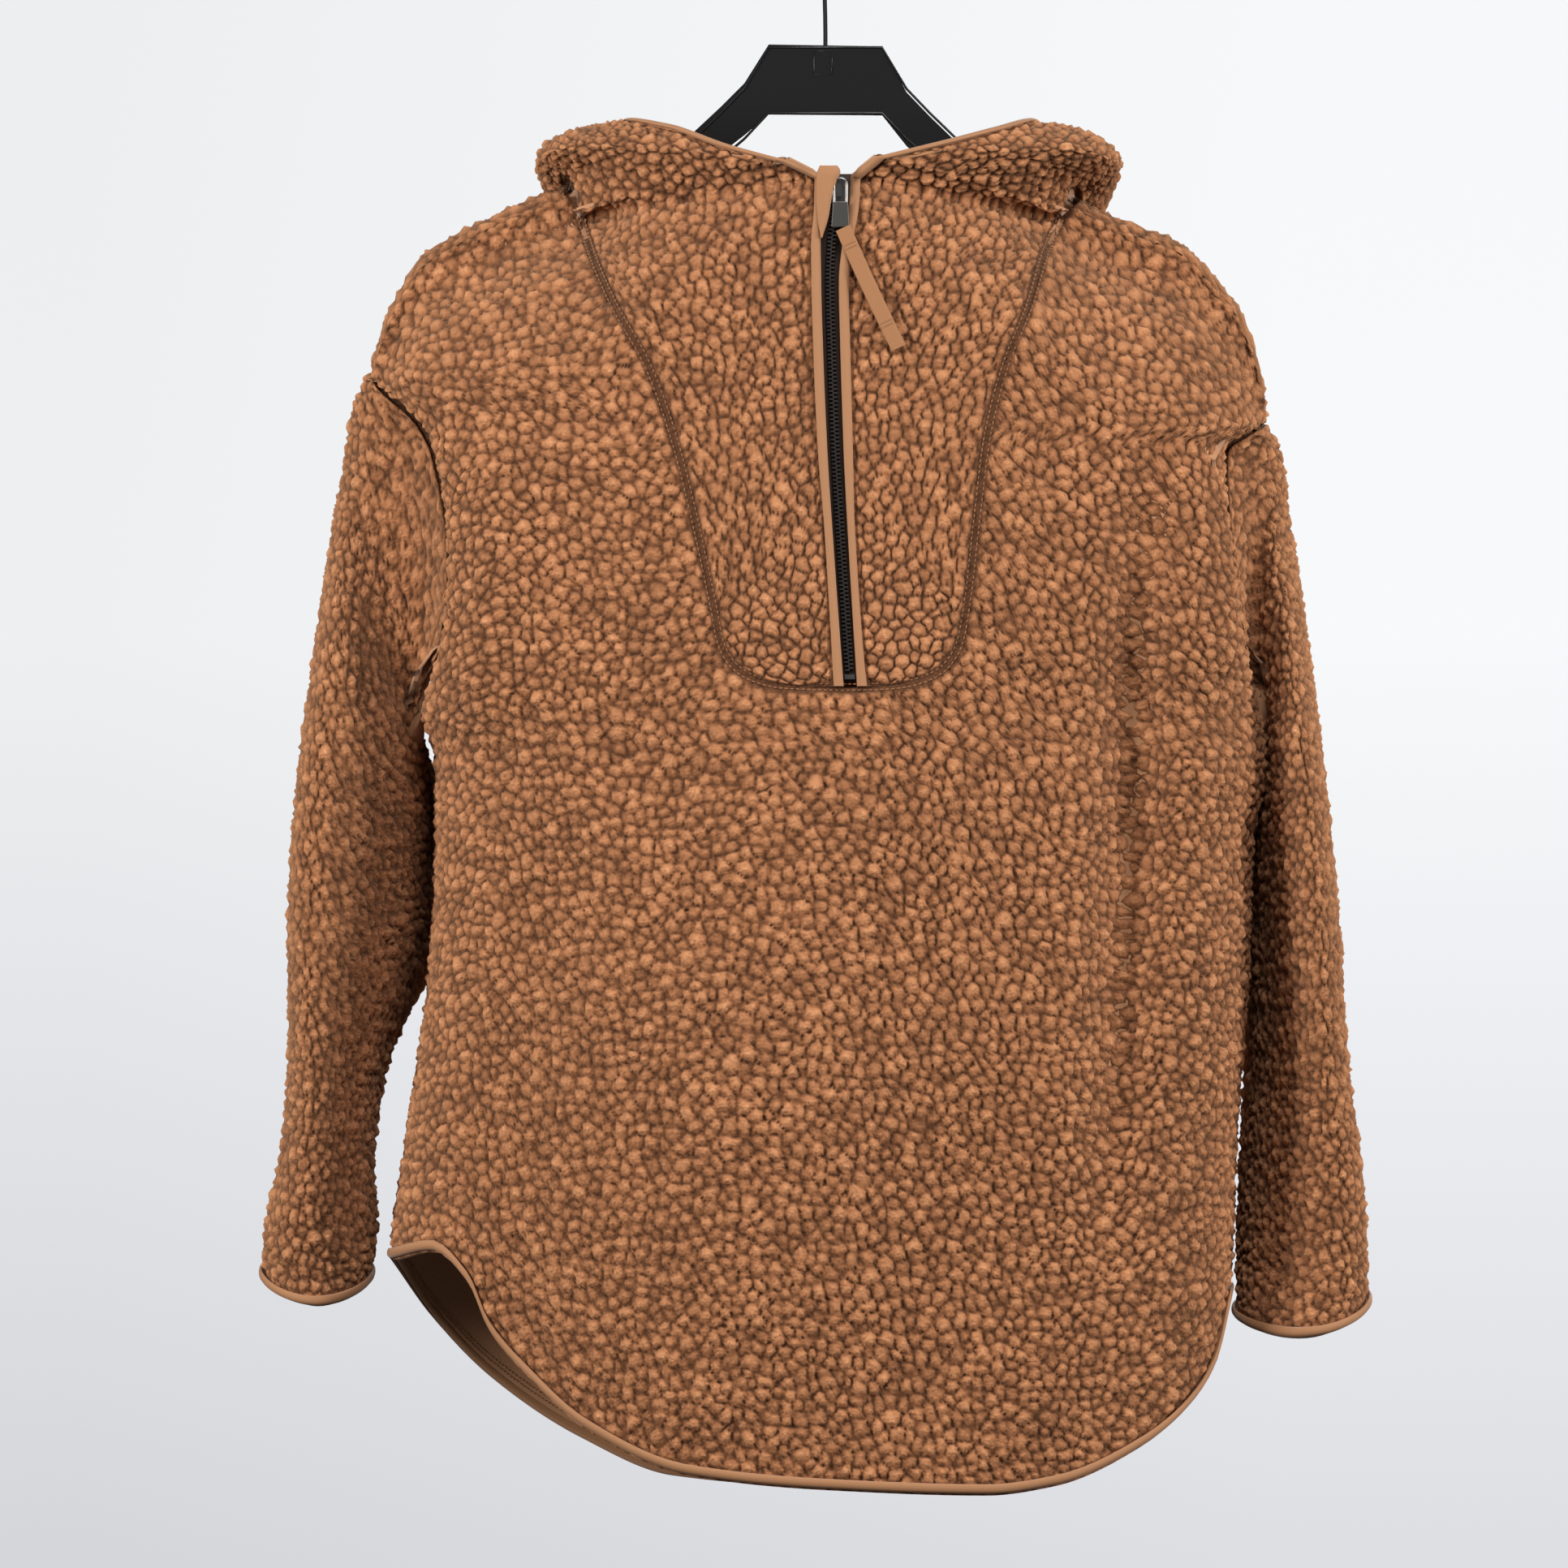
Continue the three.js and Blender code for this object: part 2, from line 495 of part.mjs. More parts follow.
// Front and back.
const bodyColumns = even(28);
const backColumns = even(22);
const frontGrid = grid(bodyColumns, frontPoint, (turn) => boundParts((part) => frontPoint(turn, part), 19));
const backLead = [0, 0.013, 0.026, 0.039, 0.056];
const backGrid = grid(backColumns, backPoint, (turn) => boundParts((part) => backPoint(turn, part), 13, backLead));
const frontWall = wall(frontGrid, WALL, { bound: true });
const frontBody = biggest(frontWall.subtract(bibHole(0)));
const spreadFront = spread(frontGrid, { start: GAP, end: GAP, sides: EDGE_CLEAR });
const frontCutter = wall(spreadFront, WALL, { grow: CLEAR }).add(frontWall).subtract(bibHole(-GAP));
const backWall = wall(backGrid, WALL, { bound: true, flip: true });
const backBody = biggest(backWall.subtract(neckHole(0)).subtract(frontCutter));
const spreadBack = spread(backGrid, { start: GAP, end: GAP, sides: EDGE_CLEAR });
const backCutter = wall(spreadBack, WALL, { grow: CLEAR, flip: true }).add(backWall).subtract(neckHole(-GAP));

// Sleeves: rings from the armhole down to the cuff.
function armholeRing(side, angle) {
  const [topDown, lowDown] = side < 0 ? [254, 447] : [283, 447];
  const down = (topDown + lowDown) / 2 - ((lowDown - topDown) / 2) * Math.cos(angle);
  const front = Math.sin(angle);
  const x = side < 0 ? body.left(down) : body.right(down);
  const rounding = Math.min(1, Math.abs(front) * 3);
  const y = front >= 0 ? body.frontEdge(down) : body.backEdge(down);
  return point(x, FOLD_Y + (y - FOLD_Y) * rounding, down);
}

function ringPoint(row, angle) {
  const out = point(row.outX, row.outY, row.outDown);
  const front = point(row.frontX, row.frontY, row.frontDown);
  const inside = point(row.inX, row.inY, row.inDown);
  const back = point(row.backX, row.backY, row.backDown);
  const c = Math.cos(angle);
  const s = Math.sin(angle);
  const c2 = Math.cos(2 * angle);
  return new THREE.Vector3()
    .addScaledVector(out, 0.25 + c / 2 + c2 / 4)
    .addScaledVector(front, 0.25 + s / 2 - c2 / 4)
    .addScaledVector(inside, 0.25 - c / 2 + c2 / 4)
    .addScaledVector(back, 0.25 - s / 2 - c2 / 4);
}

function sleevePoint(side, rows, turn, part) {
  const angle = 2 * Math.PI * turn;
  const rings = [armholeRing(side, angle), ...rows.map((row) => ringPoint(row, angle))];
  const path = new THREE.CatmullRomCurve3(rings, false, "centripetal");
  return path.getPoint(Math.min(1, Math.max(0, part)));
}

function sleeve(side, rows) {
  const turns = Array.from({ length: 20 }, (_, i) => i / 20);
  const points = grid(turns, (turn, part) => sleevePoint(side, rows, turn, part), (turn) =>
    boundParts((part) => sleevePoint(side, rows, turn, part), 13),
  );
  const flip = side > 0;
  const reach = spread(points, { start: SEAM_LAP });
  const tube = wall(reach, WALL, { around: true, bound: true, flip });
  return { points, flip, made: biggest(tube.subtract(frontCutter).subtract(backCutter)) };
}

const leftSleeve = sleeve(-1, SLEEVE_LEFT);
const rightSleeve = sleeve(1, SLEEVE_RIGHT);

// Hood halves: the bib, then the hood round to the middle of the back.
function seamPath(side) {
  const name = side < 0 ? "left" : "right";
  const rows = BIB_SEAM.slice(2).reverse();
  const outward = shifted(rows.map((row) => [row[name], row.down]), side < 0 ? SEAM_LAP : -SEAM_LAP);
  return outward.map(([x, down]) => new THREE.Vector3(x, 0, -down));
}

function hoodPoint(side, table, station, part) {
  const bibStations = 1;
  if (station <= bibStations) {
    const path = new THREE.CatmullRomCurve3(seamPath(side), false, "centripetal");
    const seam = path.getPoint(station);
    const zipDown = ZIP_BOTTOM + 5 + (ZIP_TOP + 3 - ZIP_BOTTOM - 5) * station ** 1.15;
    const zipX = zipMiddle(zipDown) + side * zipHalf(zipDown);
    const x = seam.x + (zipX - seam.x) * part;
    const down = -seam.z + (zipDown + seam.z) * part;
    return point(x, frontY(x, down), down);
  }
  const t = station - bibStations;
  const column = (name) => track(table.map((row, i) => ({ at: (i + 1) / table.length, value: row[name] })), "at", "value")(t);
  const seam = point(column("seamX"), column("seamY"), column("seamDown"));
  const edge = point(column("edgeX"), column("edgeY"), column("edgeDown"));
  const swell = point(column("outX"), column("outY"), column("outDown"));
  const bag = (1 - Math.cos(Math.PI * part)) / 2;
  const round = Math.sin(Math.PI * Math.min(1, Math.max(0, part))) ** 0.8;
  const made = seam.clone().lerp(edge, part + (bag - part) * ease(t * 2 - 0.6)).addScaledVector(swell, round);
  if (t >= 1 / table.length) return made;
  const bibTop = hoodPoint(side, table, 1, part);
  return bibTop.lerp(made, ease(t * table.length));
}

function hood(side, table) {
  const stations = [...even(12), ...even(18, 1, 2).slice(1)];
  const points = grid(stations, (station, part) => hoodPoint(side, table, station, part), (station) =>
    boundParts((part) => hoodPoint(side, table, station, part), 11),
  );
  const flip = side > 0;
  const shy = points.map((row, i) => (i === points.length - 1 ? row.map((place) => place.clone().setX(side * GAP / 2)) : row));
  const cloth = wall(shy, HOOD_WALL, { bound: true, flip });
  const other = cube(40, 200, 400, side * -(20 - GAP / 2), 141, 300);
  const channel = binding(shy, HOOD_WALL, { flip, grow: EDGE_CLEAR / 2 });
  const made = biggest(cloth.subtract(frontCutter).subtract(backCutter).subtract(other).subtract(channel));
  return { points: shy, flip, other, made };
}

const leftHood = hood(-1, HOOD_LEFT);
const rightHood = hood(1, HOOD_RIGHT);

// Binding: a folded strip round the bound edge of a panel, made from the panel's own points.
function binding(points, thick, { around = false, flip = false, grow = 0 } = {}) {
  const facing = normals(points, around);
  const rows = points[0].length;
  const wide = BINDING_WIDTH + 2 * grow;
  const cloth = BINDING_CLOTH + grow;
  const profile = [
    [wide, 0],
    [0.7, 0],
    [0, 0.9],
    [0, thick - 0.9],
    [0.7, thick],
    [wide, thick],
    [wide, thick - cloth],
    [cloth, thick - cloth],
    [cloth, cloth],
    [wide, cloth],
  ];
  const size = profile.length;
  const vertices = points.flatMap((row, i) => {
    const end = row[rows - 1];
    const before = row[rows - 2];
    const outward = end.clone().sub(before).normalize();
    const side = flip ? -1 : 1;
    return profile.map(([inside, depth]) => {
      const t = Math.max(0, (inside - BOUND_END) / (BINDING_WIDTH + 0.6 - BOUND_END));
      const normal = facing[i][rows - 1].clone().lerp(facing[i][rows - 2], t).multiplyScalar(side);
      const place = end.clone().lerp(before, t).addScaledVector(outward, Math.max(0, BOUND_END - inside));
      return place.addScaledVector(normal, -depth);
    });
  });
  const faces = [];
  const spans = around ? points.length : points.length - 1;
  for (let i = 0; i < spans; i += 1) {
    const next = (i + 1) % points.length;
    for (let k = 0; k < size; k += 1) {
      const after = (k + 1) % size;
      faces.push([i * size + k, next * size + k, next * size + after], [i * size + k, next * size + after, i * size + after]);
    }
  }
  if (!around) {
    const ring = profile.map(([inside, depth]) => new THREE.Vector2(inside, depth));
    const cap = THREE.ShapeUtils.triangulateShape(ring, []);
    const far = (points.length - 1) * size;
    const straight = THREE.ShapeUtils.area(ring) > 0;
    for (const [a, b, c] of cap) {
      faces.push(straight ? [a, b, c] : [a, c, b]);
      faces.push(straight ? [far + a, far + c, far + b] : [far + a, far + b, far + c]);
    }
  }
  return solid(vertices, faces);
}

const inset = (points, amount) => {
  const out = points.map((row) => row.map((place) => place.clone()));
  const last = out.length - 1;
  const pull = (edge, next) => edge.clone().add(next.clone().sub(edge).setLength(amount));
  out[0] = points[0].map((place, j) => pull(place, points[1][j]));
  out[last] = points[last].map((place, j) => pull(place, points[last - 1][j]));
  return out;
};

const hemBindingFront = binding(inset(frontGrid, 2), WALL);
const hemBindingBack = binding(inset(backGrid, 2), WALL, { flip: true });
const cuffLeft = binding(leftSleeve.points, WALL, { around: true, flip: leftSleeve.flip });
const cuffRight = binding(rightSleeve.points, WALL, { around: true, flip: rightSleeve.flip });
const edgeBinding = (half) => {
  const whole = binding(half.points, HOOD_WALL, { flip: half.flip });
  return biggest(whole.subtract(frontCutter).subtract(half.other).subtract(half.made));
};
const bindingLeft = edgeBinding(leftHood);
const bindingRight = edgeBinding(rightHood);

// Faces of a strip with a box section, four corners a station.
function boxFaces(count) {
  const faces = [];
  for (let i = 0; i < count; i += 1) {
    for (let k = 0; k < 4; k += 1) {
      const a = i * 4 + k;
      const b = i * 4 + ((k + 1) % 4);
      faces.push([a, b, b + 4], [a, b + 4, a + 4]);
    }
  }
  const end = count * 4;
  faces.push([0, 2, 1], [0, 3, 2], [end, end + 1, end + 2], [end, end + 2, end + 3]);
  return faces;
}

// Strip down the zip: a box section that follows the front of the bib.
function zipStrip(from, to, count, left, right, near, far) {
  const stations = even(count, from, to);
  const vertices = stations.flatMap((down) => {
    const middle = zipMiddle(down);
    const y = frontY(middle, down);
    return [
      point(middle + left, y + near, down),
      point(middle + right, y + near, down),
      point(middle + right, y + far, down),
      point(middle + left, y + far, down),
    ];
  });
  return solid(vertices, boxFaces(count));
}

const chain = zipStrip(ZIP_TOP + 2, ZIP_BOTTOM - 5, 16, -2.5, 2.5, 3.4, 5.6);
const tapeLeft = zipStrip(TAPE_TOP, ZIP_BOTTOM - 1, 16, -11, -GAP / 2, 6.3, 7.1);
const tapeRight = zipStrip(TAPE_TOP, ZIP_BOTTOM - 1, 16, GAP / 2, 11, 6.3, 7.1);
const stop = zipStrip(ZIP_BOTTOM - 4.7, ZIP_BOTTOM - 2, 1, -2.8, 2.8, 3.4, 5.6);

// Slider with a bridge that the pull's bar goes through.
const sliderX = zipMiddle(SLIDER.down) + SLIDER.side;
const sliderY = frontY(zipMiddle(SLIDER.down), SLIDER.down) + SLIDER.ahead;
const bridgeY = sliderY - SLIDER.thick / 2 - BRIDGE.rise / 2;
const slider = cube(SLIDER.wide, SLIDER.thick, SLIDER.long, sliderX, sliderY, SLIDER.down)
  .add(cube(BRIDGE.wide, BRIDGE.rise + 0.2, BRIDGE.long, sliderX, bridgeY + 0.1, SLIDER.down))
  .subtract(cube(BRIDGE.wide + 1, BRIDGE.hole, BRIDGE.hole, sliderX, bridgeY + 0.2, SLIDER.down));
const pullTop = SLIDER.down - BRIDGE.pin / 2;
const pull = cube(PULL.wide, PULL.thick, PULL.long, sliderX, bridgeY + 0.2, pullTop + PULL.long / 2).subtract(
  cube(PULL.window, PULL.thick + 1, PULL.windowLong, sliderX, bridgeY + 0.2, pullTop + BRIDGE.pin + PULL.windowLong / 2),
);

// Flat strip between two places, its front in the view from the front.
function flatStrip(from, to, wide, thick, count) {
  const run = to.clone().sub(from);
  const aside = new THREE.Vector3(-run.z, 0, run.x).setLength(wide / 2);
  const vertices = even(count).flatMap((t) => {
    const middle = from.clone().lerp(to, t);
    const near = middle.clone();
    const far = middle.clone().setY(middle.y + thick);
    return [near.clone().sub(aside), near.clone().add(aside), far.clone().add(aside), far.clone().sub(aside)];
  });
  return solid(vertices, boxFaces(count));
}
const ribbonY = bridgeY + 0.2 - PULL.thick / 2 - GAP - RIBBON.thick;
const ribbonEnd = frontY(RIBBON.toX, RIBBON.toDown) - RIBBON.ahead;
const ribbon = flatStrip(
  point(RIBBON.fromX, ribbonY, RIBBON.fromDown),
  point(RIBBON.toX, Math.min(ribbonY, ribbonEnd), RIBBON.toDown),
  RIBBON.wide,
  RIBBON.thick,
  6,
);
const garageFace = frontY(GARAGE.left, GARAGE.tip) - GARAGE.near;
const garage = prism(
  [
    [GARAGE.left, GARAGE.top],
    [GARAGE.right, GARAGE.top],
    [GARAGE.right, GARAGE.top + 18],
    [GARAGE.tipX + 0.8, GARAGE.tip],
    [GARAGE.tipX - 0.8, GARAGE.tip],
    [GARAGE.left, GARAGE.top + 20],
  ],
  garageFace,
  garageFace + GARAGE.near - GARAGE.far,
);

// Hanger plate and the wire hook.
const hangerRun = (side, edge) => HANGER.map((row) => [side * row.x, row[edge]]);
const hangerPlate = prism(
  [
    ...hangerRun(-1, "leftTop").reverse(),
    ...hangerRun(1, "rightTop"),
    ...hangerRun(1, "rightBottom").reverse(),
    ...hangerRun(-1, "leftBottom"),
  ],
  -HANGER_THICK / 2,
  HANGER_THICK / 2,
);

function rod(path, radius, count, sides) {
  const curve = new THREE.CatmullRomCurve3(path, false, "centripetal");
  const vertices = [];
  for (let i = 0; i <= count; i += 1) {
    const middle = curve.getPoint(i / count);
    const ahead = curve.getTangent(i / count);
    const aside = new THREE.Vector3(-ahead.z, 0, ahead.x).normalize();
    for (let k = 0; k < sides; k += 1) {
      const angle = (2 * Math.PI * k) / sides;
      const rim = middle.clone().addScaledVector(aside, radius * Math.cos(angle));
      vertices.push(rim.setY(rim.y + radius * Math.sin(angle)));
    }
  }
  const faces = [];
  for (let i = 0; i < count; i += 1) {
    for (let k = 0; k < sides; k += 1) {
      const a = i * sides + k;
      const b = i * sides + ((k + 1) % sides);
      faces.push([a, b, b + sides], [a, b + sides, a + sides]);
    }
  }
  for (let k = 1; k < sides - 1; k += 1) {
    faces.push([0, k + 1, k], [count * sides, count * sides + k, count * sides + k + 1]);
  }
  return solid(vertices, faces);
}

const hookRound = Array.from({ length: 13 }, (_, i) => {
  const angle = ((-25 + i * 17.5) * Math.PI) / 180;
  const radius = HOOK_INSIDE + HOOK_WIRE;
  return point(radius * Math.cos(angle), 0, HOOK_INSIDE - radius * Math.sin(angle));
});
const hook = rod(
  [point(0, 0, HOOK_STEM_END), point(0, 0, 62), point(0, 0, 48), point(6, 0, 37), ...hookRound],
  HOOK_WIRE,
  26,
  6,
);
const hookHole = wasm.Manifold.cylinder(10, HOOK_WIRE + GAP, HOOK_WIRE + GAP, 16).translate([0, 0, -HOOK_STEM_END - GAP]);
const hanger = hangerPlate.subtract(hookHole);

const materials = {
  fleece: new THREE.MeshStandardMaterial({ color: 0xb98458, roughness: 1 }),
  binding: new THREE.MeshStandardMaterial({ color: 0xb28058, roughness: 0.8 }),
  tape: new THREE.MeshStandardMaterial({ color: 0x4a3022, roughness: 0.9 }),
  metal: new THREE.MeshStandardMaterial({ color: 0x77736e, roughness: 0.35, metalness: 1 }),
  plastic: new THREE.MeshStandardMaterial({ color: 0x121214, roughness: 0.35 }),
  wire: new THREE.MeshStandardMaterial({ color: 0x5b5b5e, roughness: 0.4, metalness: 1 }),
};

const group = new THREE.Group();
function add(name, made, material) {
  const mesh = made.getMesh();
  const geometry = new THREE.BufferGeometry();
  geometry.setAttribute("position", new THREE.BufferAttribute(new Float32Array(mesh.vertProperties), 3));
  geometry.setIndex(new THREE.BufferAttribute(new Uint32Array(mesh.triVerts), 1));
  geometry.computeVertexNormals();
  const piece = new THREE.Mesh(geometry, materials[material].clone());
  piece.name = name;
  group.add(piece);
}

add("front_body", frontBody, "fleece");
add("back_body", backBody, "fleece");
add("sleeve_left", leftSleeve.made, "fleece");
add("sleeve_right", rightSleeve.made, "fleece");
add("hood_left", leftHood.made, "fleece");
add("hood_right", rightHood.made, "fleece");
add("edge_binding_left", bindingLeft, "binding");
add("edge_binding_right", bindingRight, "binding");
add("hem_binding_front", hemBindingFront, "binding");
add("hem_binding_back", hemBindingBack, "binding");
add("cuff_binding_left", cuffLeft, "binding");
add("cuff_binding_right", cuffRight, "binding");
add("zip_tape_left", tapeLeft, "tape");
add("zip_tape_right", tapeRight, "tape");
add("zip_chain", chain, "metal");
add("zip_stop", stop, "metal");
add("zip_slider", slider, "metal");
add("zip_pull", pull, "metal");
add("pull_ribbon", ribbon, "binding");
add("zip_garage", garage, "binding");
add("hanger", hanger, "plastic");
add("hook", hook, "wire");

export default group;
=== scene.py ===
import math

import bpy
import numpy as np
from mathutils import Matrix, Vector
from mathutils.kdtree import KDTree


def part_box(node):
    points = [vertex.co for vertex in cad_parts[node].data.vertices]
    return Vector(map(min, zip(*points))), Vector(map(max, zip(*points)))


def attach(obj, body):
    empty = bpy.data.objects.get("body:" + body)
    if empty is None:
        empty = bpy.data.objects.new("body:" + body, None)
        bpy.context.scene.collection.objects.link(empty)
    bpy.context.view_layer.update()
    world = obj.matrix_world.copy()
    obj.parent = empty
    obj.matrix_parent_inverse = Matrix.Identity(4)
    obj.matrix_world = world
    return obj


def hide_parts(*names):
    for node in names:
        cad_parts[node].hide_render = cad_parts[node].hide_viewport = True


# Sizes are in millimetres, as in the part, and turned into metres when a mesh is made.
# x is to the right of the picture, y to the back, and down is measured from the rail.
MM = 0.001
WALL = 6.0
HOOD_WALL = 5.0
BINDING_WIDTH = 5.4
# Radius of the body's fold over the shoulder, and how far round it the shoulder seam lies.
FOLD_RADIUS = 14.0
SEAM_ANGLE = math.radians(150)
# How square the body is in section: 1 is an ellipse, 0 a box.
BODY_SQUARE = 0.62
# Curls: height, least distance apart, and half the width of the groove along a seam.
PILE_DEPTH = 4.3
PILE_APART = 5.7
SEAM_HALF = 2.4
SEAM_SLOPE = 3.4
BINDING_SLOPE = 2.6
PILE_UNDER_BINDING = 0.75
ZIP_TOP = 146.0
ZIP_BOTTOM = 429.0
HANGER_THICK = 9.0
ARMHOLE_TOP_LEFT = 254.0
ARMHOLE_TOP_RIGHT = 283.0
ARMHOLE_LOW = 447.0

BODY_COLUMNS = ("down", "left", "right", "front_edge", "front", "back", "back_edge")
BODY = (
    (60, -254, 250, -12, -66, 26, 12),
    (160, -254, 250, -12, -72, 32, 12),
    (255, -254, 250, -14, -80, 48, 16),
    (285, -226, 245, -24, -83, 54, 28),
    (300, -219, 223, -34, -85, 58, 38),
    (365, -211, 229, -46, -91, 70, 50),
    (410, -216, 235, -36, -96, 77, 44),
    (447, -226, 243, -4, -99, 81, 12),
    (468, -219, 248, 4, -101, 83, 4),
    (520, -218, 239, 5, -104, 87, 5),
    (590, -222, 236.5, 5, -107, 90, 5),
    (680, -234, 230, 5, -108, 92, 5),
    (750, -243, 227, 5, -107, 92, 5),
    (890, -243, 219, 5, -102, 88, 5),
)
# Top of the body: x, down.
SHOULDER = (
    (-254, 252), (-245, 223), (-233, 202), (-226, 191), (-210, 180), (-190, 170), (-159, 156),
    (-131, 146), (-105, 120), (0, 60), (100, 125), (128, 150), (163, 169), (200, 184),
    (217, 202), (230, 218), (239, 240), (246, 266), (250, 281),
)
# Hems: share of the way across from the left, down.
FRONT_HEM = (
    (0, 749), (0.05, 744), (0.095, 762), (0.12, 788), (0.17, 815), (0.235, 842), (0.36, 868),
    (0.53, 876), (0.72, 879), (0.8, 874), (0.9, 853), (0.96, 828), (0.985, 806), (1, 768),
)
BACK_HEM = (
    (0, 749), (0.05, 782), (0.12, 815), (0.23, 849), (0.34, 870), (0.5, 876), (0.72, 877),
    (0.85, 862), (0.95, 815), (1, 768),
)
# Bib seam: down, left x, right x.
BIB_SEAM = (
    (100, -140, 136), (152, -140, 136), (170, -136, 131), (190, -130, 122), (220, -117, 113),
    (252, -99, 100), (290, -85, 90), (336, -73, 84), (387, -62, 78), (410, -57, 73),
    (422, -48, 64), (429, -32, 48), (431, -10, 30),
)
# Neck seam of the back: x, down.
BACK_NECK = (
    (-140, 100), (-140, 158), (-134, 170), (-112, 184), (-70, 194), (0, 198), (68, 194),
    (108, 184), (130, 170), (136, 158), (136, 100),
)
# Zip: down, middle x, half of the opening.
ZIP = (
    (140, 7, 7.5), (165, 6, 7), (185, 3.4, 6), (206, 2.5, 4.9), (243, 3.4, 4.8), (300, 5.5, 4.5),
    (360, 9, 4.1), (435, 14, 3.7),
)
# Soft troughs: x and down of both ends, width, depth. Below 0 is a ridge.
FRONT_FOLDS = (
    (212, 330, 218, 640, 20, -7), (120, 440, 112, 760, 46, 6), (-150, 350, -95, 480, 26, 5),
    (-188, 330, -196, 440, 18, -5), (-160, 560, -175, 800, 26, 6), (-60, 600, -70, 820, 30, -5),
    (40, 560, 50, 820, 30, 4), (130, 640, 125, 820, 28, -4),
)
# Deepest fold of the front, in rows of x, down and depth.
VALLEY = (
    (190, 275, 0), (178, 345, 15), (171, 420, 23), (169, 520, 25), (163, 620, 20), (153, 760, 0),
)
VALLEY_WIDTH = 16
BACK_FOLDS = (
    (-150, 330, -120, 560, 24, 10), (150, 330, 125, 600, 24, 10), (-70, 520, -60, 800, 34, -6),
    (60, 560, 75, 800, 34, -6),
)
# Hood stations: seam x y down, open edge x y down, swell x y down.
HOOD_LEFT = (
    (-139, -17, 171, -22, -73, 139, -4, -10, -2),
    (-142, -7.7, 151, -52, -66, 131, -20, -16, -3),
    (-143, 2, 149.3, -84, -50, 119.5, -36, -14, -2),
    (-142.5, 12.5, 155.6, -105, -24, 116, -35, 2, -6),
    (-127, 17.3, 178, -116, 22, 129, -34, 36, 0),
    (-93, 28.5, 194, -104, 84, 160, -30, 38, 82),
    (-48, 39.5, 199, -60, 124, 186, -12, 22, 134),
    (0, 40.3, 201, 0, 136, 194, 0, 16, 149),
)
HOOD_RIGHT = (
    (134, -15.5, 171, 28, -73, 137, 4, -12, 0),
    (138, -7.7, 156.3, 62, -68, 129, 18, -20, -2),
    (139, 2, 155, 92, -54, 121, 38, -18, -2),
    (138.5, 12.5, 161, 111, -24, 116, 39, 0, -5),
    (127, 16.2, 177.5, 118, 22, 127, 38, 36, 0),
    (93, 28, 193, 104, 84, 160, 30, 38, 82),
    (46, 39.5, 199, 58, 124, 186, 12, 22, 134),
    (0, 40.3, 201, 0, 136, 194, 0, 16, 149),
)
# Sleeve rings: outer, front, inner and back point, each as x y down.
SLEEVE_LEFT = (
    (-263, 2, 272, -227, -22, 366, -234, 6, 460, -229, 52, 360),
    (-270, 4, 312, -244, -22, 388, -222, 20, 462, -247, 60, 380),
    (-279, 4, 364, -258, -42, 418, -216, 28, 480, -258, 66, 408),
    (-286, 6, 422, -269, -54, 455, -213, 35, 504, -258, 72, 450),
    (-292, 6, 490, -277, -58, 508, -214, 44, 540, -254, 80, 512),
    (-296, 8, 565, -280, -56, 572, -216, 50, 578, -252, 84, 572),
    (-298, 6, 632, -281, -50, 638, -242, 36, 640, -262, 72, 634),
    (-303, 2, 686, -284, -46, 694, -250, 22, 692, -268, 60, 686),
    (-312, 0, 730, -288, -43, 744, -248, 14, 736, -273, 50, 729),
    (-314, -2, 757, -284, -44, 774, -251, 6, 760, -277, 42, 752),
)
SLEEVE_RIGHT = (
    (254, 2, 298, 237, -26, 374, 250, 6, 462, 241, 52, 366),
    (259, 4, 336, 244, -32, 396, 245, 20, 464, 251, 60, 388),
    (266, 4, 380, 252, -44, 426, 239, 30, 484, 257, 66, 414),
    (273, 6, 432, 258, -50, 462, 234, 38, 508, 257, 74, 454),
    (280, 6, 494, 264, -52, 514, 233, 46, 545, 254, 82, 516),
    (286, 8, 567, 269, -48, 578, 231, 51, 586, 252, 84, 576),
    (290, 6, 634, 272, -40, 646, 232, 46, 646, 254, 76, 640),
    (297, 2, 686, 275, -36, 700, 229, 36, 698, 257, 66, 690),
    (301, 0, 732, 276, -36, 750, 227, 26, 744, 261, 57, 737),
    (303, -2, 772, 270, -40, 791, 226, 12, 780, 263, 46, 770),
)

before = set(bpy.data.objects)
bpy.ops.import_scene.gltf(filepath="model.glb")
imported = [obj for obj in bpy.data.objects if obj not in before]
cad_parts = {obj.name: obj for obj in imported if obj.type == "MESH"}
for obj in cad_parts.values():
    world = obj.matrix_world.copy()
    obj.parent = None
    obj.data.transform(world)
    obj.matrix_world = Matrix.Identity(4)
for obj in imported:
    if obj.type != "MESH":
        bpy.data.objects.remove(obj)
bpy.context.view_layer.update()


def track(x, y):
    """Smooth curve through rows without overshoot, the same as in the part."""
    x = np.array(x, float)
    y = np.array(y, float)
    step = np.diff(x)
    rise = np.diff(y) / step
    slope = np.empty(len(x))
    slope[0] = rise[0]
    slope[-1] = rise[-1]
    for i in range(1, len(x) - 1):
        if rise[i - 1] * rise[i] <= 0:
            slope[i] = 0
            continue
        before = 2 * step[i] + step[i - 1]
        after = step[i] + 2 * step[i - 1]
        slope[i] = (before + after) / (before / rise[i - 1] + after / rise[i])

    def value(at):
        at = np.asarray(at, float)
        i = np.clip(np.searchsorted(x, at) - 1, 0, len(step) - 1)
        h = step[i]
        t = np.clip((at - x[i]) / h, 0, 1)
        return (
            (1 + 2 * t) * (1 - t) ** 2 * y[i]
            + t * (1 - t) ** 2 * h * slope[i]
            + t * t * (3 - 2 * t) * y[i + 1]
            + t * t * (t - 1) * h * slope[i + 1]
        )

    return value


def ease(t):
    s = np.clip(t, 0, 1)
    return s * s * (3 - 2 * s)


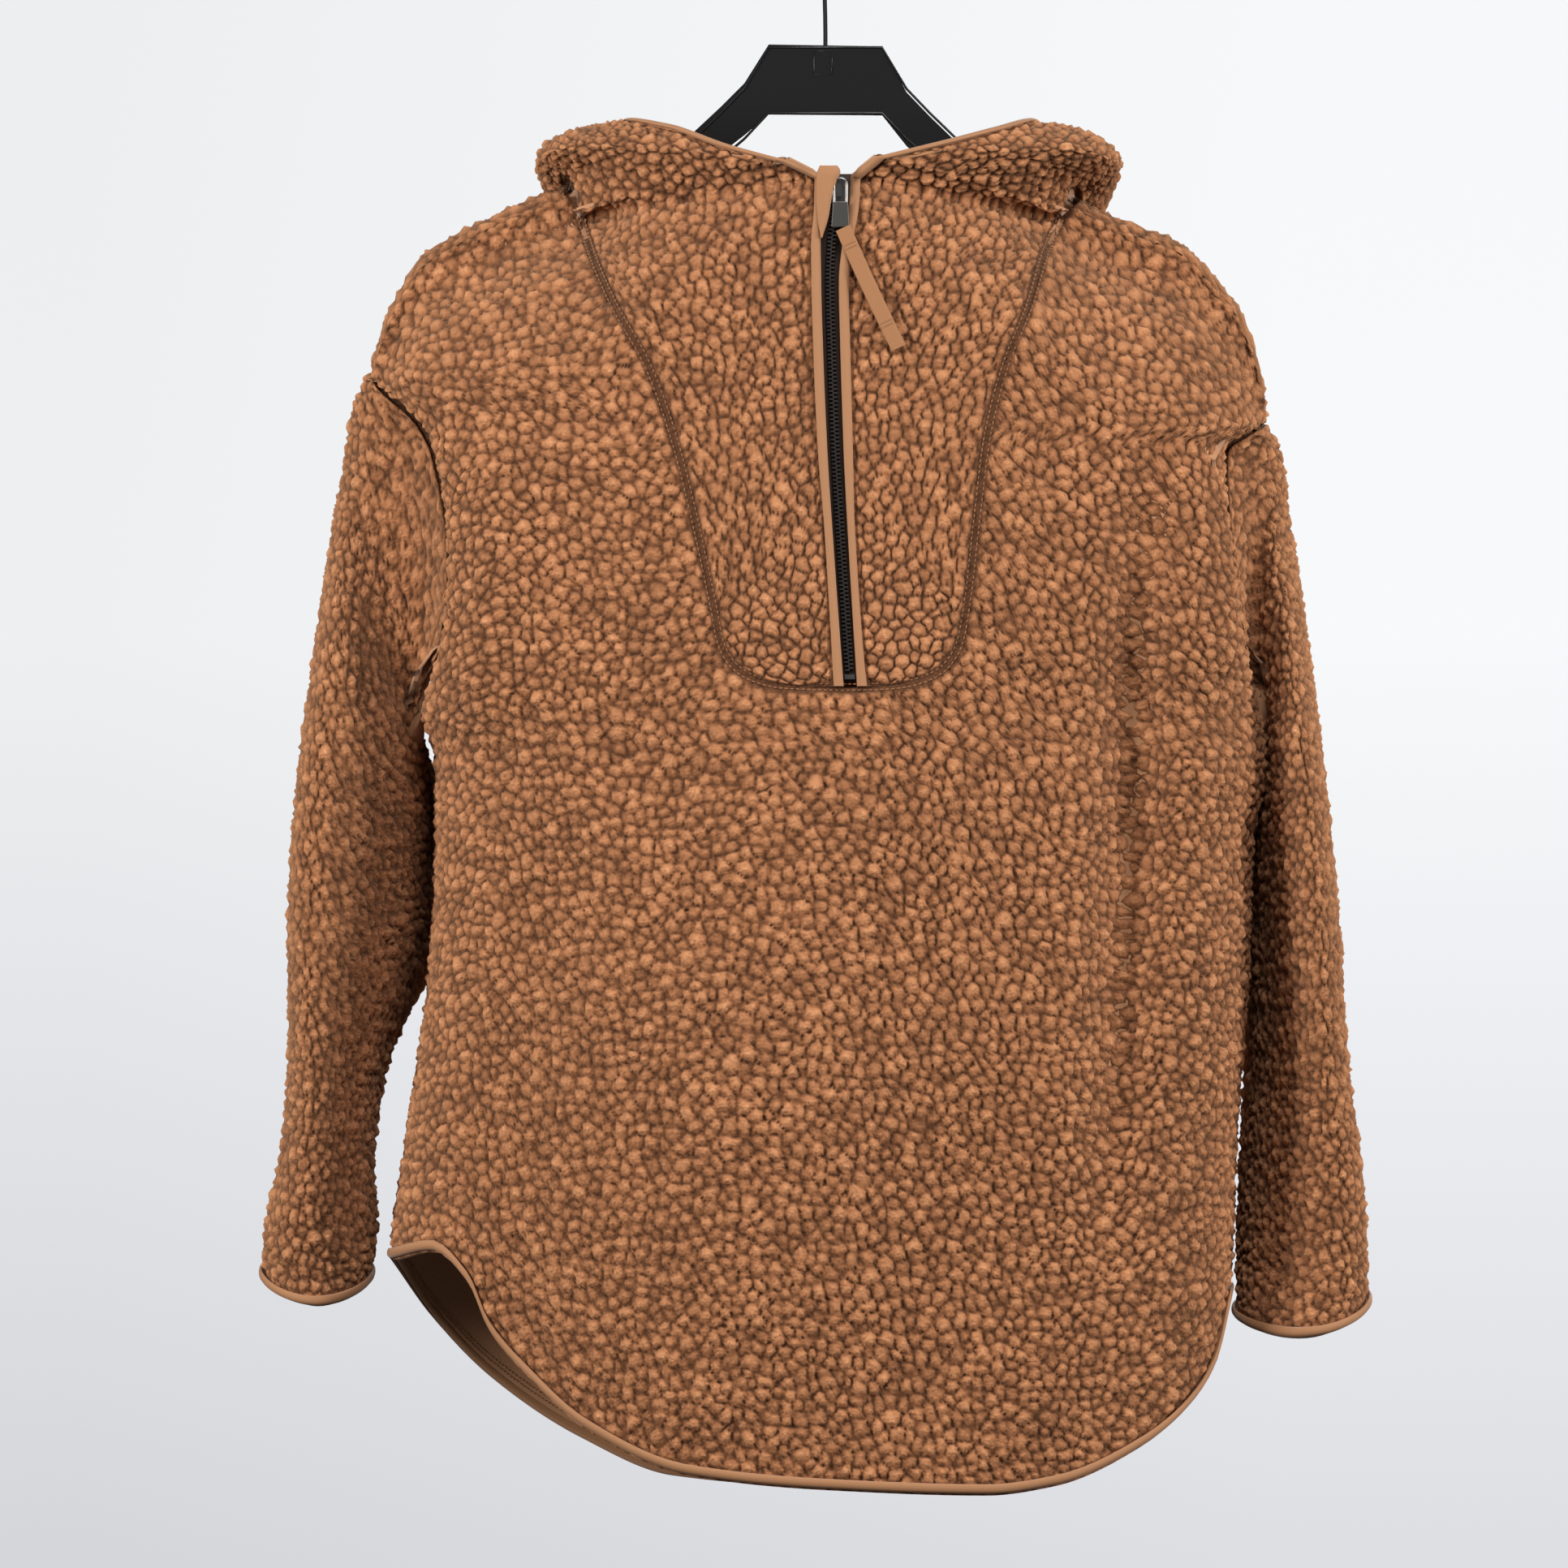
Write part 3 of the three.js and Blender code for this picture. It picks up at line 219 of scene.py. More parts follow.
body = {
    name: track([r[0] for r in BODY], [r[i] for r in BODY])
    for i, name in enumerate(BODY_COLUMNS)
    if i
}
shoulder = track(*zip(*SHOULDER))
front_hem = track(*zip(*FRONT_HEM))
back_hem = track(*zip(*BACK_HEM))
zip_middle = track([r[0] for r in ZIP], [r[1] for r in ZIP])
zip_half = track([r[0] for r in ZIP], [r[2] for r in ZIP])


def along_fold(x, down, x0, d0, x1, d1):
    """Share of the way along a fold, and distance from it."""
    ax, ad = x1 - x0, d1 - d0
    t = np.clip(((x - x0) * ax + (down - d0) * ad) / (ax * ax + ad * ad), 0, 1)
    return t, np.hypot(x - x0 - t * ax, down - d0 - t * ad)


def fold_depth(folds, x, down):
    total = np.zeros(np.broadcast(x, down).shape)
    for x0, d0, x1, d1, width, depth in folds:
        _, away = along_fold(x, down, x0, d0, x1, d1)
        total = total + depth * np.exp(-((away / width) ** 2))
    return total


def valley_depth(x, down):
    deepest = np.zeros(np.broadcast(x, down).shape)
    for (x0, d0, a), (x1, d1, b) in zip(VALLEY, VALLEY[1:]):
        t, away = along_fold(x, down, x0, d0, x1, d1)
        deepest = np.maximum(deepest, (a + (b - a) * t) * np.exp(-((away / VALLEY_WIDTH) ** 2)))
    return deepest


def fullness(x, down):
    left = body["left"](down)
    a = np.clip((x - left) / (body["right"](down) - left), 0, 1)
    return (2 * np.sqrt(a * (1 - a))) ** BODY_SQUARE


def front_y(x, down):
    x = np.asarray(x, float)
    down = np.asarray(down, float)
    start = shoulder(x) + FOLD_RADIUS
    full = fullness(x, down)
    section = body["front_edge"](down) + (body["front"](down) - body["front_edge"](down)) * full
    folded = section + (fold_depth(FRONT_FOLDS, x, down) + valley_depth(x, down)) * full
    top = -FOLD_RADIUS
    swell = ease((down - start + 25) / 125) ** 0.8 * ease((down - start) / 40 + 0.02)
    hang = top + (folded - top) * swell
    over = -np.sqrt(np.maximum(0, FOLD_RADIUS**2 - (start - down) ** 2))
    return np.where(down < start, over, hang)


def back_y(x, down):
    start = shoulder(x) + FOLD_RADIUS
    full = fullness(x, down)
    section = body["back_edge"](down) + (body["back"](down) - body["back_edge"](down)) * full
    folded = section - fold_depth(BACK_FOLDS, x, down) * full
    return FOLD_RADIUS + (folded - FOLD_RADIUS) * ease((down - start) / 110)


def body_x(turn, down):
    left = body["left"](down)
    return left + (body["right"](down) - left) * (1 - np.cos(np.pi * turn)) / 2


def place(x, y, down):
    x, y, down = np.broadcast_arrays(x, y, down)
    return np.stack([x, y, -down], axis=-1).astype(float)


def front_point(turn, part):
    across = (1 - np.cos(np.pi * turn)) / 2
    top = shoulder(body_x(turn, 200.0)) + FOLD_RADIUS * (1 - math.sin(SEAM_ANGLE))
    down = top + (front_hem(across) - top) * part
    x = body_x(turn, down)
    return place(x, front_y(x, down), down)


def back_point(turn, part):
    across = (1 - np.cos(np.pi * turn)) / 2
    top = shoulder(body_x(turn, 200.0)) + FOLD_RADIUS
    arc = FOLD_RADIUS * SEAM_ANGLE
    along = part * (arc + back_hem(across) - top)
    angle = SEAM_ANGLE - along / FOLD_RADIUS
    over = along < arc
    down = np.where(over, top - FOLD_RADIUS * np.sin(angle), top + along - arc)
    x = body_x(turn, down)
    y = np.where(over, FOLD_RADIUS * np.cos(angle), back_y(x, down))
    return place(x, y, down)


def through(points, t):
    """Centripetal curve through points (k, ..., 3) at t from 0 to 1, as three.js draws it."""
    k = len(points)
    at = np.clip(t, 0, 1) * (k - 1)
    i = np.clip(np.floor(at).astype(int), 0, k - 2)
    w = (at - i)[..., None]
    n = np.arange(points.shape[1]) if points.ndim == 3 else None

    def take(j):
        inside = np.clip(j, 0, k - 1)
        got = points[inside, n] if n is not None else points[inside]
        first, second, last_but_one, last = points[[0, 1, -2, -1]]
        got = np.where((j < 0)[..., None], 2 * first - second, got)
        return np.where((j > k - 1)[..., None], 2 * last - last_but_one, got)

    p0, p1, p2, p3 = take(i - 1), take(i), take(i + 1), take(i + 2)
    d0, d1, d2 = (
        np.maximum(np.sum((b - a) ** 2, -1, keepdims=True) ** 0.25, 1e-4)
        for a, b in ((p0, p1), (p1, p2), (p2, p3))
    )
    m1 = ((p1 - p0) / d0 - (p2 - p0) / (d0 + d1) + (p2 - p1) / d1) * d1
    m2 = ((p2 - p1) / d1 - (p3 - p1) / (d1 + d2) + (p3 - p2) / d2) * d1
    return (
        p1
        + m1 * w
        + (-3 * p1 + 3 * p2 - 2 * m1 - m2) * w**2
        + (2 * p1 - 2 * p2 + m1 + m2) * w**3
    )


def armhole(side, angle):
    top = ARMHOLE_TOP_LEFT if side < 0 else ARMHOLE_TOP_RIGHT
    down = (top + ARMHOLE_LOW) / 2 - (ARMHOLE_LOW - top) / 2 * np.cos(angle)
    front = np.sin(angle)
    x = body["left"](down) if side < 0 else body["right"](down)
    y = np.where(front >= 0, body["front_edge"](down), body["back_edge"](down))
    return place(x, y * np.minimum(1, np.abs(front) * 3), down)


def ring(row, angle):
    """Closed curve through the four points of a sleeve ring."""
    out, front, inner, back = (np.array([row[i], row[i + 1], -row[i + 2]], float) for i in (0, 3, 6, 9))
    c, s, c2 = (f[:, None] for f in (np.cos(angle), np.sin(angle), np.cos(2 * angle)))
    return (
        out * (0.25 + c / 2 + c2 / 4)
        + front * (0.25 + s / 2 - c2 / 4)
        + inner * (0.25 - c / 2 + c2 / 4)
        + back * (0.25 - s / 2 - c2 / 4)
    )


def sleeve_grid(side, rows, turns, parts):
    angle = 2 * np.pi * turns
    rings = np.stack([armhole(side, angle)] + [ring(row, angle) for row in rows])
    return np.stack([through(rings, np.full(len(turns), part)) for part in parts], axis=1)


def bib_seam(side, lap=0.0):
    rows = BIB_SEAM[2:][::-1]
    line = np.array([[r[1 if side < 0 else 2], r[0]] for r in rows], float)
    before = np.vstack([line[:1], line[:-1]])
    after = np.vstack([line[1:], line[-1:]])
    run = after - before
    length = np.hypot(*run.T)[:, None]
    shift = lap if side < 0 else -lap
    moved = line + shift * np.stack([run[:, 1], -run[:, 0]], 1) / length
    return np.stack([moved[:, 0], np.zeros(len(moved)), -moved[:, 1]], 1)


def hood_grid(side, table, stations, part_rows):
    """Points by station, 0 to 1 over the bib, 1 to 2 round the hood, and by part from seam to edge."""
    k = len(table)
    at = [(i + 1) / k for i in range(k)]
    columns = [track(at, [r[c] for r in table]) for c in range(9)]
    seam_line = bib_seam(side)

    def bib(station, part):
        seam = through(seam_line, np.asarray([station]))[0]
        zip_down = ZIP_BOTTOM + 5 + (ZIP_TOP + 3 - ZIP_BOTTOM - 5) * station**1.15
        zip_x = float(zip_middle(zip_down) + side * zip_half(zip_down))
        x = seam[0] + (zip_x - seam[0]) * part
        down = -seam[2] + (zip_down + seam[2]) * part
        return place(x, front_y(x, down), down)

    rows = []
    for station, part in zip(stations, part_rows):
        if station <= 1:
            rows.append(bib(station, part))
            continue
        t = station - 1
        v = [float(c(t)) for c in columns]
        seam, edge, swell = (np.array([v[i], v[i + 1], -v[i + 2]]) for i in (0, 3, 6))
        bag = (1 - np.cos(np.pi * part)) / 2
        mix = part + (bag - part) * float(ease(t * 2 - 0.6))
        round_ = np.sin(np.pi * np.clip(part, 0, 1)) ** 0.8
        made = seam + (edge - seam) * mix[:, None] + swell * round_[:, None]
        if t < 1 / k:
            first = bib(1.0, part)
            made = first + (made - first) * float(ease(t * k))
        rows.append(made)
    return np.stack(rows)


def normals(p, around=False, flip=False):
    """Outward normals of a grid of points."""
    if around:
        across = np.roll(p, -1, 0) - np.roll(p, 1, 0)
    else:
        across = np.gradient(p, axis=0)
    along = np.gradient(p, axis=1)
    n = np.cross(along, across)
    n /= np.maximum(np.linalg.norm(n, axis=-1, keepdims=True), 1e-9)
    return -n if flip else n


def seeds_on(points, apart, rng):
    """Places on a surface, none nearer to another than apart."""
    count = min(len(points), 90000)
    order = rng.permutation(len(points))[:count]
    taken = {}
    chosen = []
    around = [(i, j, k) for i in (-1, 0, 1) for j in (-1, 0, 1) for k in (-1, 0, 1)]
    limit = apart * apart
    for x, y, z in points[order].tolist():
        cx, cy, cz = int(x // apart), int(y // apart), int(z // apart)
        free = True
        for i, j, k in around:
            for a, b, c in taken.get((cx + i, cy + j, cz + k), ()):
                if (a - x) ** 2 + (b - y) ** 2 + (c - z) ** 2 < limit:
                    free = False
                    break
            if not free:
                break
        if free:
            taken.setdefault((cx, cy, cz), []).append((x, y, z))
            chosen.append((x, y, z))
    return np.array(chosen)


def waver(p, length, salt):
    """Smooth noise from a few sines, -1 to 1."""
    rng = np.random.default_rng(salt)
    total = np.zeros(len(p))
    for _ in range(5):
        k = rng.normal(size=3)
        k *= 2 * np.pi / (length * np.linalg.norm(k)) * rng.uniform(0.7, 1.4)
        total += np.sin(p @ k + rng.uniform(0, 2 * np.pi))
    return total / 3.2


def pile_height(points, candidates, salt):
    """Height of the curls from 0 in a crevice to 1, and a number for each curl."""
    rng = np.random.default_rng(salt)
    seeds = seeds_on(candidates, PILE_APART, rng)
    weight = rng.uniform(-1.2, 1.0, len(seeds))
    own = rng.uniform(0, 1, len(seeds))
    tree = KDTree(len(seeds))
    for i, seed in enumerate(seeds.tolist()):
        tree.insert(seed, i)
    tree.balance()
    warp = np.stack([waver(points, 15, salt + i) for i in range(3)], -1) * 0.8
    warp += np.stack([waver(points, 4.6, salt + 3 + i) for i in range(3)], -1) * 0.55
    index = np.zeros((len(points), 4), int)
    away = np.full((len(points), 4), 99.0)
    for i, place_ in enumerate((points + warp).tolist()):
        for j, (_, found, distance) in enumerate(tree.find_n(place_, 4)):
            index[i, j] = found
            away[i, j] = distance
    away = away - weight[index]
    order = np.argsort(away, axis=1)
    near = np.take_along_axis(away, order, 1)
    first = index[np.arange(len(points)), order[:, 0]]
    low = np.maximum(near[:, 0] + 0.6, 0.0)
    share = np.clip(2 * low / np.maximum(low + near[:, 1] + 0.6, 0.1), 0, 1)
    dome = np.sqrt(np.clip(1 - share**1.9, 0, 1))
    height = dome * (0.64 + 0.36 * own[first]) + 0.16 * waver(points, 4.0, salt + 7) * dome
    return np.clip(height, 0, 1.12), own[first]


def mesh_object(name, vertices, faces, material, attributes=(), smooth=True):
    mesh = bpy.data.meshes.new(name)
    vertices = np.asarray(vertices, np.float32).reshape(-1, 3) * MM
    faces = np.asarray(faces, np.int32)
    mesh.vertices.add(len(vertices))
    mesh.vertices.foreach_set("co", vertices.ravel())
    size = faces.shape[1]
    mesh.loops.add(faces.size)
    mesh.loops.foreach_set("vertex_index", faces.ravel())
    mesh.polygons.add(len(faces))
    mesh.polygons.foreach_set("loop_start", np.arange(0, faces.size, size, dtype=np.int32))
    mesh.update(calc_edges=True)
    mesh.polygons.foreach_set("use_smooth", np.full(len(faces), smooth))
    for key, values in attributes:
        marks = mesh.attributes.new(key, "FLOAT", "POINT")
        marks.data.foreach_set("value", np.asarray(values, np.float32).ravel())
    mesh.materials.append(material)
    obj = bpy.data.objects.new(name, mesh)
    bpy.context.scene.collection.objects.link(obj)
    return obj


def grid_faces(columns, rows, around=False, closed_rows=False):
    """Quads of a grid whose points are stored column by column."""
    i = np.arange(columns if around else columns - 1)[:, None]
    j = np.arange(rows if closed_rows else rows - 1)[None, :]
    n = (i + 1) % columns
    m = (j + 1) % rows
    quads = np.stack([i * rows + j, i * rows + m, n * rows + m, n * rows + j], -1)
    return quads.reshape(-1, 4)


def shell(name, p, thick, material, around=False, flip=False, keep=None):
    """Closed cloth under the pile: the backing, from just under the pile to the inside."""
    columns, rows = p.shape[:2]
    n = normals(p, around, flip)
    outer = (p - n * (PILE_DEPTH + 0.1)).reshape(-1, 3)
    inner = (p - n * thick).reshape(-1, 3)
    faces = grid_faces(columns, rows, around)
    if keep is not None:
        faces = faces[keep(faces)]
    if flip:
        faces = faces[:, ::-1]
    count = columns * rows
    edges = np.concatenate([faces[:, [0, 1]], faces[:, [1, 2]], faces[:, [2, 3]], faces[:, [3, 0]]])
    key = np.sort(edges, axis=1)
    _, index, times = np.unique(key, axis=0, return_index=True, return_counts=True)
    rim = edges[index[times == 1]]
    walls = np.stack([rim[:, 1], rim[:, 0], rim[:, 0] + count, rim[:, 1] + count], -1)
    all_faces = np.concatenate([faces, faces[:, ::-1] + count, walls])
    used, compact = np.unique(all_faces, return_inverse=True)
    vertices = np.concatenate([outer, inner])[used]
    return mesh_object(name, vertices, compact.reshape(all_faces.shape), material)


def arc_even(curve, count):
    """Numbers from 0 to 1 that cut a curve into even lengths."""
    t = np.linspace(0, 1, 600)
    p = curve(t)
    run = np.concatenate([[0], np.cumsum(np.linalg.norm(np.diff(p, axis=0), axis=1))])
    return np.interp(np.linspace(0, run[-1], count), run, t)


def nearest_line(points, line):
    """Distance from each point to a run of points, in the same plane or space."""
    best = np.full(len(points), 1e9)
    where = np.zeros(points.shape)
    for a, b in zip(line[:-1], line[1:]):
        run = b - a
        t = np.clip(((points - a) @ run) / max(run @ run, 1e-9), 0, 1)
        foot = a + t[:, None] * run
        d = np.linalg.norm(points - foot, axis=1)
        closer = d < best
        best = np.where(closer, d, best)
        where[closer] = foot[closer]
    return best, where


def inside_shape(points, outline):
    hit = np.zeros(len(points), bool)
    x, y = points.T
    for (x0, y0), (x1, y1) in zip(outline, np.roll(outline, -1, 0)):
        cross = (y0 > y) != (y1 > y)
        with np.errstate(divide="ignore", invalid="ignore"):
            at = (x1 - x0) * (y - y0) / (y1 - y0) + x0
        hit ^= cross & (x < at)
    return hit


def pile(name, p, salt, seam_distance, bound_distance, around=False, flip=False, keep=None, halves=1):
    """The curly outside of a panel, over its backing, in one piece or cut into halves by columns."""
    columns, rows = p.shape[:2]
    n = normals(p, around, flip).reshape(-1, 3)
    flat = p.reshape(-1, 3)
    height, own = pile_height(flat, flat, salt)
    seam = ease((seam_distance - SEAM_HALF * 0.6) / SEAM_SLOPE)
    bound = ease((bound_distance - BINDING_WIDTH - 0.2) / BINDING_SLOPE)
    height = height * (0.12 + 0.88 * seam)
    depth = PILE_DEPTH * (1 - height)
    depth = depth * bound + (PILE_DEPTH * PILE_UNDER_BINDING) * (1 - bound)
    moved = flat - n * depth[:, None]
    # Painted shade: a mark that darkens the fleece along the seams' grooves.
    groove = 0.8 * ease(1 - (seam_distance - 0.8) / 2.6)
    faces = grid_faces(columns, rows, around)
    if keep is not None:
        faces = faces[keep(faces)]
    made = []
    for half in range(halves):
        middle = faces[:, 0] // rows
        low, high = columns * half // halves, columns * (half + 1) // halves
        part = faces[(middle >= low) & (middle < high)]
        if flip:
            part = part[:, ::-1]
        used, compact = np.unique(part, return_inverse=True)
        marks = (("height", height[used]), ("tone", own[used]), ("groove", groove[used]))
        piece = name if halves == 1 else name + "_" + str(half + 1)
        made.append(mesh_object(piece, moved[used], compact.reshape(part.shape), fleece, marks))
    return made


def node_tree(name):
    material = bpy.data.materials.new(name)
    material.use_nodes = True
    tree = material.node_tree
    return material, tree, tree.nodes["Principled BSDF"]


def set_inputs(node, **values):
    """Sets inputs by name, with _ for a space; an output given as the value is linked."""
    for name, value in values.items():
        socket = node.inputs[name.replace("_", " ")]
        if isinstance(value, bpy.types.NodeSocket):
            node.id_data.links.new(value, socket)
        else:
            socket.default_value = value
    return node


def add_node(tree, kind, **values):
    return set_inputs(tree.nodes.new("ShaderNode" + kind), **values)


def attribute(tree, name):
    node = add_node(tree, "Attribute")
    node.attribute_name = name
    return node.outputs["Fac"]


def ramp(tree, source, stops):
    node = add_node(tree, "ValToRGB", Fac=source)
    elements = node.color_ramp.elements
    for element, (position, colour) in zip(elements, (stops[0], stops[-1])):
        element.position = position
        element.color = (*colour, 1)
    for position, colour in stops[1:-1]:
        elements.new(position).color = (*colour, 1)
    return node.outputs["Color"]


# Colour of a curl by height, from the crevices to the tips: the darkening down into the crevices is
# painted shade over the fleece's own colour at the tips.
FLEECE_COLOUR_AND_SHADE_STOPS = (
    (0.0, (0.045, 0.013, 0.005)), (0.3, (0.20, 0.073, 0.028)),
    (0.6, (0.50, 0.205, 0.086)), (1.0, (0.70, 0.318, 0.144)),
)


def fleece_material():
    material, tree, shader = node_tree("fleece")
    # Painted shade: the curls' colour darkens by height down into the crevices.
    colour = ramp(tree, attribute(tree, "height"), FLEECE_COLOUR_AND_SHADE_STOPS)
    value = add_node(tree, "MapRange", To_Min=0.90, To_Max=1.08, Value=attribute(tree, "tone"))
    hue = add_node(tree, "HueSaturation", Color=colour, Value=value.outputs["Result"])
    # Painted shade: the colour is mixed towards dark brown in the seams' grooves.
    seam_groove_shade = tree.nodes.new("ShaderNodeMix")
    seam_groove_shade.data_type = "RGBA"
    set_inputs(
        seam_groove_shade,
        Factor=attribute(tree, "groove"),
        A=hue.outputs["Color"],
        B=(0.15, 0.058, 0.025, 1),
    )
    where = add_node(tree, "TexCoord").outputs["Object"]
    curls = tree.nodes.new("ShaderNodeTexVoronoi")
    curls.feature = "SMOOTH_F1"
    set_inputs(curls, Scale=430, Smoothness=0.6, Vector=where)
    fibre = add_node(tree, "TexNoise", Scale=900, Detail=3, Distortion=1.5, Vector=where)
    mix = tree.nodes.new("ShaderNodeMath")
    mix.operation = "SUBTRACT"
    tree.links.new(fibre.outputs["Fac"], mix.inputs[0])
    tree.links.new(curls.outputs["Distance"], mix.inputs[1])
    bump = add_node(tree, "Bump", Strength=1.0, Distance=0.0016, Height=mix.outputs["Value"])
    set_inputs(
        shader,
        Base_Color=seam_groove_shade.outputs["Result"],
        Roughness=0.95,
        Specular_IOR_Level=0.15,
        Sheen_Weight=0.25,
        Sheen_Roughness=0.5,
        Sheen_Tint=(1.0, 0.70, 0.46, 1),
        Normal=bump.outputs["Normal"],
    )
    return material


def plain_material(name, colour, roughness, metallic=0.0, sheen=0.0, grain=None, strength=0.3, coat=0.0):
    """One colour, with a fine grain in relief and tone when grain is given."""
    material, tree, shader = node_tree(name)
    set_inputs(
        shader,
        Base_Color=(*colour, 1),
        Roughness=roughness,
        Metallic=metallic,
        Sheen_Weight=sheen,
        Coat_Weight=coat,
    )
    if grain:
        where = add_node(tree, "TexCoord").outputs["Object"]
        texture = add_node(tree, "TexNoise", Scale=grain, Detail=4, Vector=where).outputs["Fac"]
        bump = add_node(tree, "Bump", Strength=strength, Distance=0.0005, Height=texture)
        span = add_node(tree, "MapRange", To_Min=0.88, To_Max=1.1, Value=texture)
        tint = add_node(tree, "HueSaturation", Color=(*colour, 1), Value=span.outputs["Result"])
        set_inputs(shader, Base_Color=tint.outputs["Color"], Normal=bump.outputs["Normal"])
    return material


fleece = fleece_material()
backing = plain_material("backing", (0.46, 0.225, 0.108), 0.95, sheen=0.3, grain=900, strength=0.5)
binding_cloth = plain_material("binding", (0.36, 0.165, 0.068), 0.75, sheen=0.2, grain=2200, strength=0.25)
thread = plain_material("thread", (0.30, 0.135, 0.058), 0.8)
thread_pale = plain_material("thread_pale", (0.50, 0.27, 0.14), 0.8)
tape_cloth = plain_material("tape", (0.030, 0.014, 0.008), 0.85, grain=2600, strength=0.4)
metal = plain_material("metal", (0.30, 0.285, 0.27), 0.28, metallic=1.0)
plate_metal = plain_material("plate_metal", (0.16, 0.155, 0.14), 0.42, metallic=1.0)
plastic = plain_material("plastic", (0.006, 0.006, 0.0065), 0.32, coat=0.2)
wire = plain_material("wire", (0.10, 0.10, 0.105), 0.35, metallic=1.0)
ribbon_cloth = plain_material("ribbon", (0.33, 0.145, 0.056), 0.8, sheen=0.2, grain=2600, strength=0.3)

GARMENT = "garment"
PULL = "pull"


def finish_piece(obj, body_name, slot, *nodes):
    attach(obj, body_name)
    if nodes:
        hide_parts(*nodes)
    return obj


dense = 1.0


def many(count):
    return max(8, int(count * dense))


bib_left = np.array([[r[1], r[0]] for r in BIB_SEAM], float)
bib_right = np.array([[r[2], r[0]] for r in BIB_SEAM], float)[::-1]
bib_outline = np.vstack([bib_left, bib_right])
neck_outline = np.array(BACK_NECK, float)


def smooth_line(line, count=6):
    """A finer run of points through a coarse one."""
    p = np.column_stack([line, np.zeros(len(line))])
    return through(p, np.linspace(0, 1, (len(line) - 1) * count + 1))[:, :2]


# The holes for bib and neck are closed far above the shoulders.
ABOVE = [[200, 20], [-200, 20]]
bib_fine = smooth_line(bib_outline)
neck_fine = smooth_line(neck_outline)
bib_shape = np.vstack([bib_fine, ABOVE])
neck_shape = np.vstack([neck_fine, ABOVE])


def cut_grid(p, shape, line, surface):
    """Takes the hole out of a panel's grid, whose edge points there go onto the seam."""
    flat = p.reshape(-1, 3).copy()
    plane = np.stack([flat[:, 0], -flat[:, 2]], 1)
    inside = inside_shape(plane, shape)
    distance, foot = nearest_line(plane, line)

    def keep(faces):
        return ~inside[faces].all(axis=1)

    faces = grid_faces(*p.shape[:2])
    rim = np.zeros(len(flat), bool)
    rim[np.unique(faces[keep(faces)])] = True
    rim &= inside
    x, down = foot[rim].T
    flat[rim] = place(x, surface(x, down), down)
    distance = np.where(inside, 0, distance)
    return flat.reshape(p.shape), distance, keep


def hem_distance(p, parts):
    last_step = p[:, -1] - p[:, -2]
    last = np.linalg.norm(last_step, axis=1)[:, None] * (len(parts) - 1)
    return ((1 - parts)[None, :] * last).ravel()


PANEL_WIDTH = 560
PANEL_LENGTH = 620
SHOULDER_SEAM_CLEAR = 3.4


def body_seams(p, parts, to_neck):
    """Distance to the nearest seam that shows as a groove: armholes, neck, and less so the shoulder."""
    columns = len(p)
    count = np.arange(columns)
    down = -p[..., 2]
    side = np.minimum(count, count[::-1])[:, None] * PANEL_WIDTH / columns + 0 * parts[None, :]
    side = side + np.clip((down - 450) / 6, 0, 9) + np.clip((250 - down) / 6, 0, 9)
    top = parts[None, :] * PANEL_LENGTH + SHOULDER_SEAM_CLEAR + 0 * count[:, None]
    return np.minimum(np.minimum(side.ravel(), top.ravel()), to_neck)


def body_panel(name, salt, point_at, shape, line, surface, fine, coarse, flip, halves):
    """Front or back. fine and coarse are the columns and rows of the curls and of the cloth."""

    def grid(columns, rows):
        turns = arc_even(lambda t: point_at(t, np.full(len(t), 0.47)), columns)
        parts = np.linspace(0, 1, rows)
        return (parts, *cut_grid(point_at(turns[:, None], parts[None, :]), shape, line, surface))

    parts, p, to_hole, keep = grid(*map(many, fine))
    seam = body_seams(p, parts, to_hole)
    hem = hem_distance(p, parts)
    curls = pile("pile_" + name, p, salt, seam, hem, flip=flip, keep=keep, halves=halves)
    _, thin, _, thin_keep = grid(*coarse)
    under = shell("cloth_" + name, thin, WALL, backing, flip=flip, keep=thin_keep)
    for piece in (under, *curls):
        finish_piece(piece, GARMENT, "fleece", name + "_body")
    return p


SLEEVE_LENGTH = 520


def sleeve_panel(name, side, rows, salt):
    flip = side > 0
    turns = np.arange(many(180)) / many(180)
    parts = np.linspace(0, 1, many(285))
    p = lapped(sleeve_grid(side, rows, turns, parts), flip)
    seam = (parts[None, :] * SLEEVE_LENGTH + 0 * turns[:, None]).ravel()
    cuff = np.linalg.norm(p - p[:, -1:], axis=2).ravel()
    node = "sleeve_" + name
    curls = pile("pile_sleeve_" + name, p, salt, seam, cuff, around=True, flip=flip)
    thin = lapped(sleeve_grid(side, rows, np.arange(48) / 48, np.linspace(0, 1, 60)), flip)
    under = shell("cloth_sleeve_" + name, thin, WALL, backing, around=True, flip=flip)
    for piece in (under, *curls):
        finish_piece(piece, GARMENT, "fleece", node)
    return p


def lapped(p, flip):
    """Takes the first ring of a sleeve under the body's edge."""
    n = normals(p, True, flip)
    run = p[:, 0] - p[:, 3]
    run /= np.linalg.norm(run, axis=1, keepdims=True)
    out = p.copy()
    out[:, 0] = p[:, 0] + run * 5 - n[:, 0] * 3
    return out


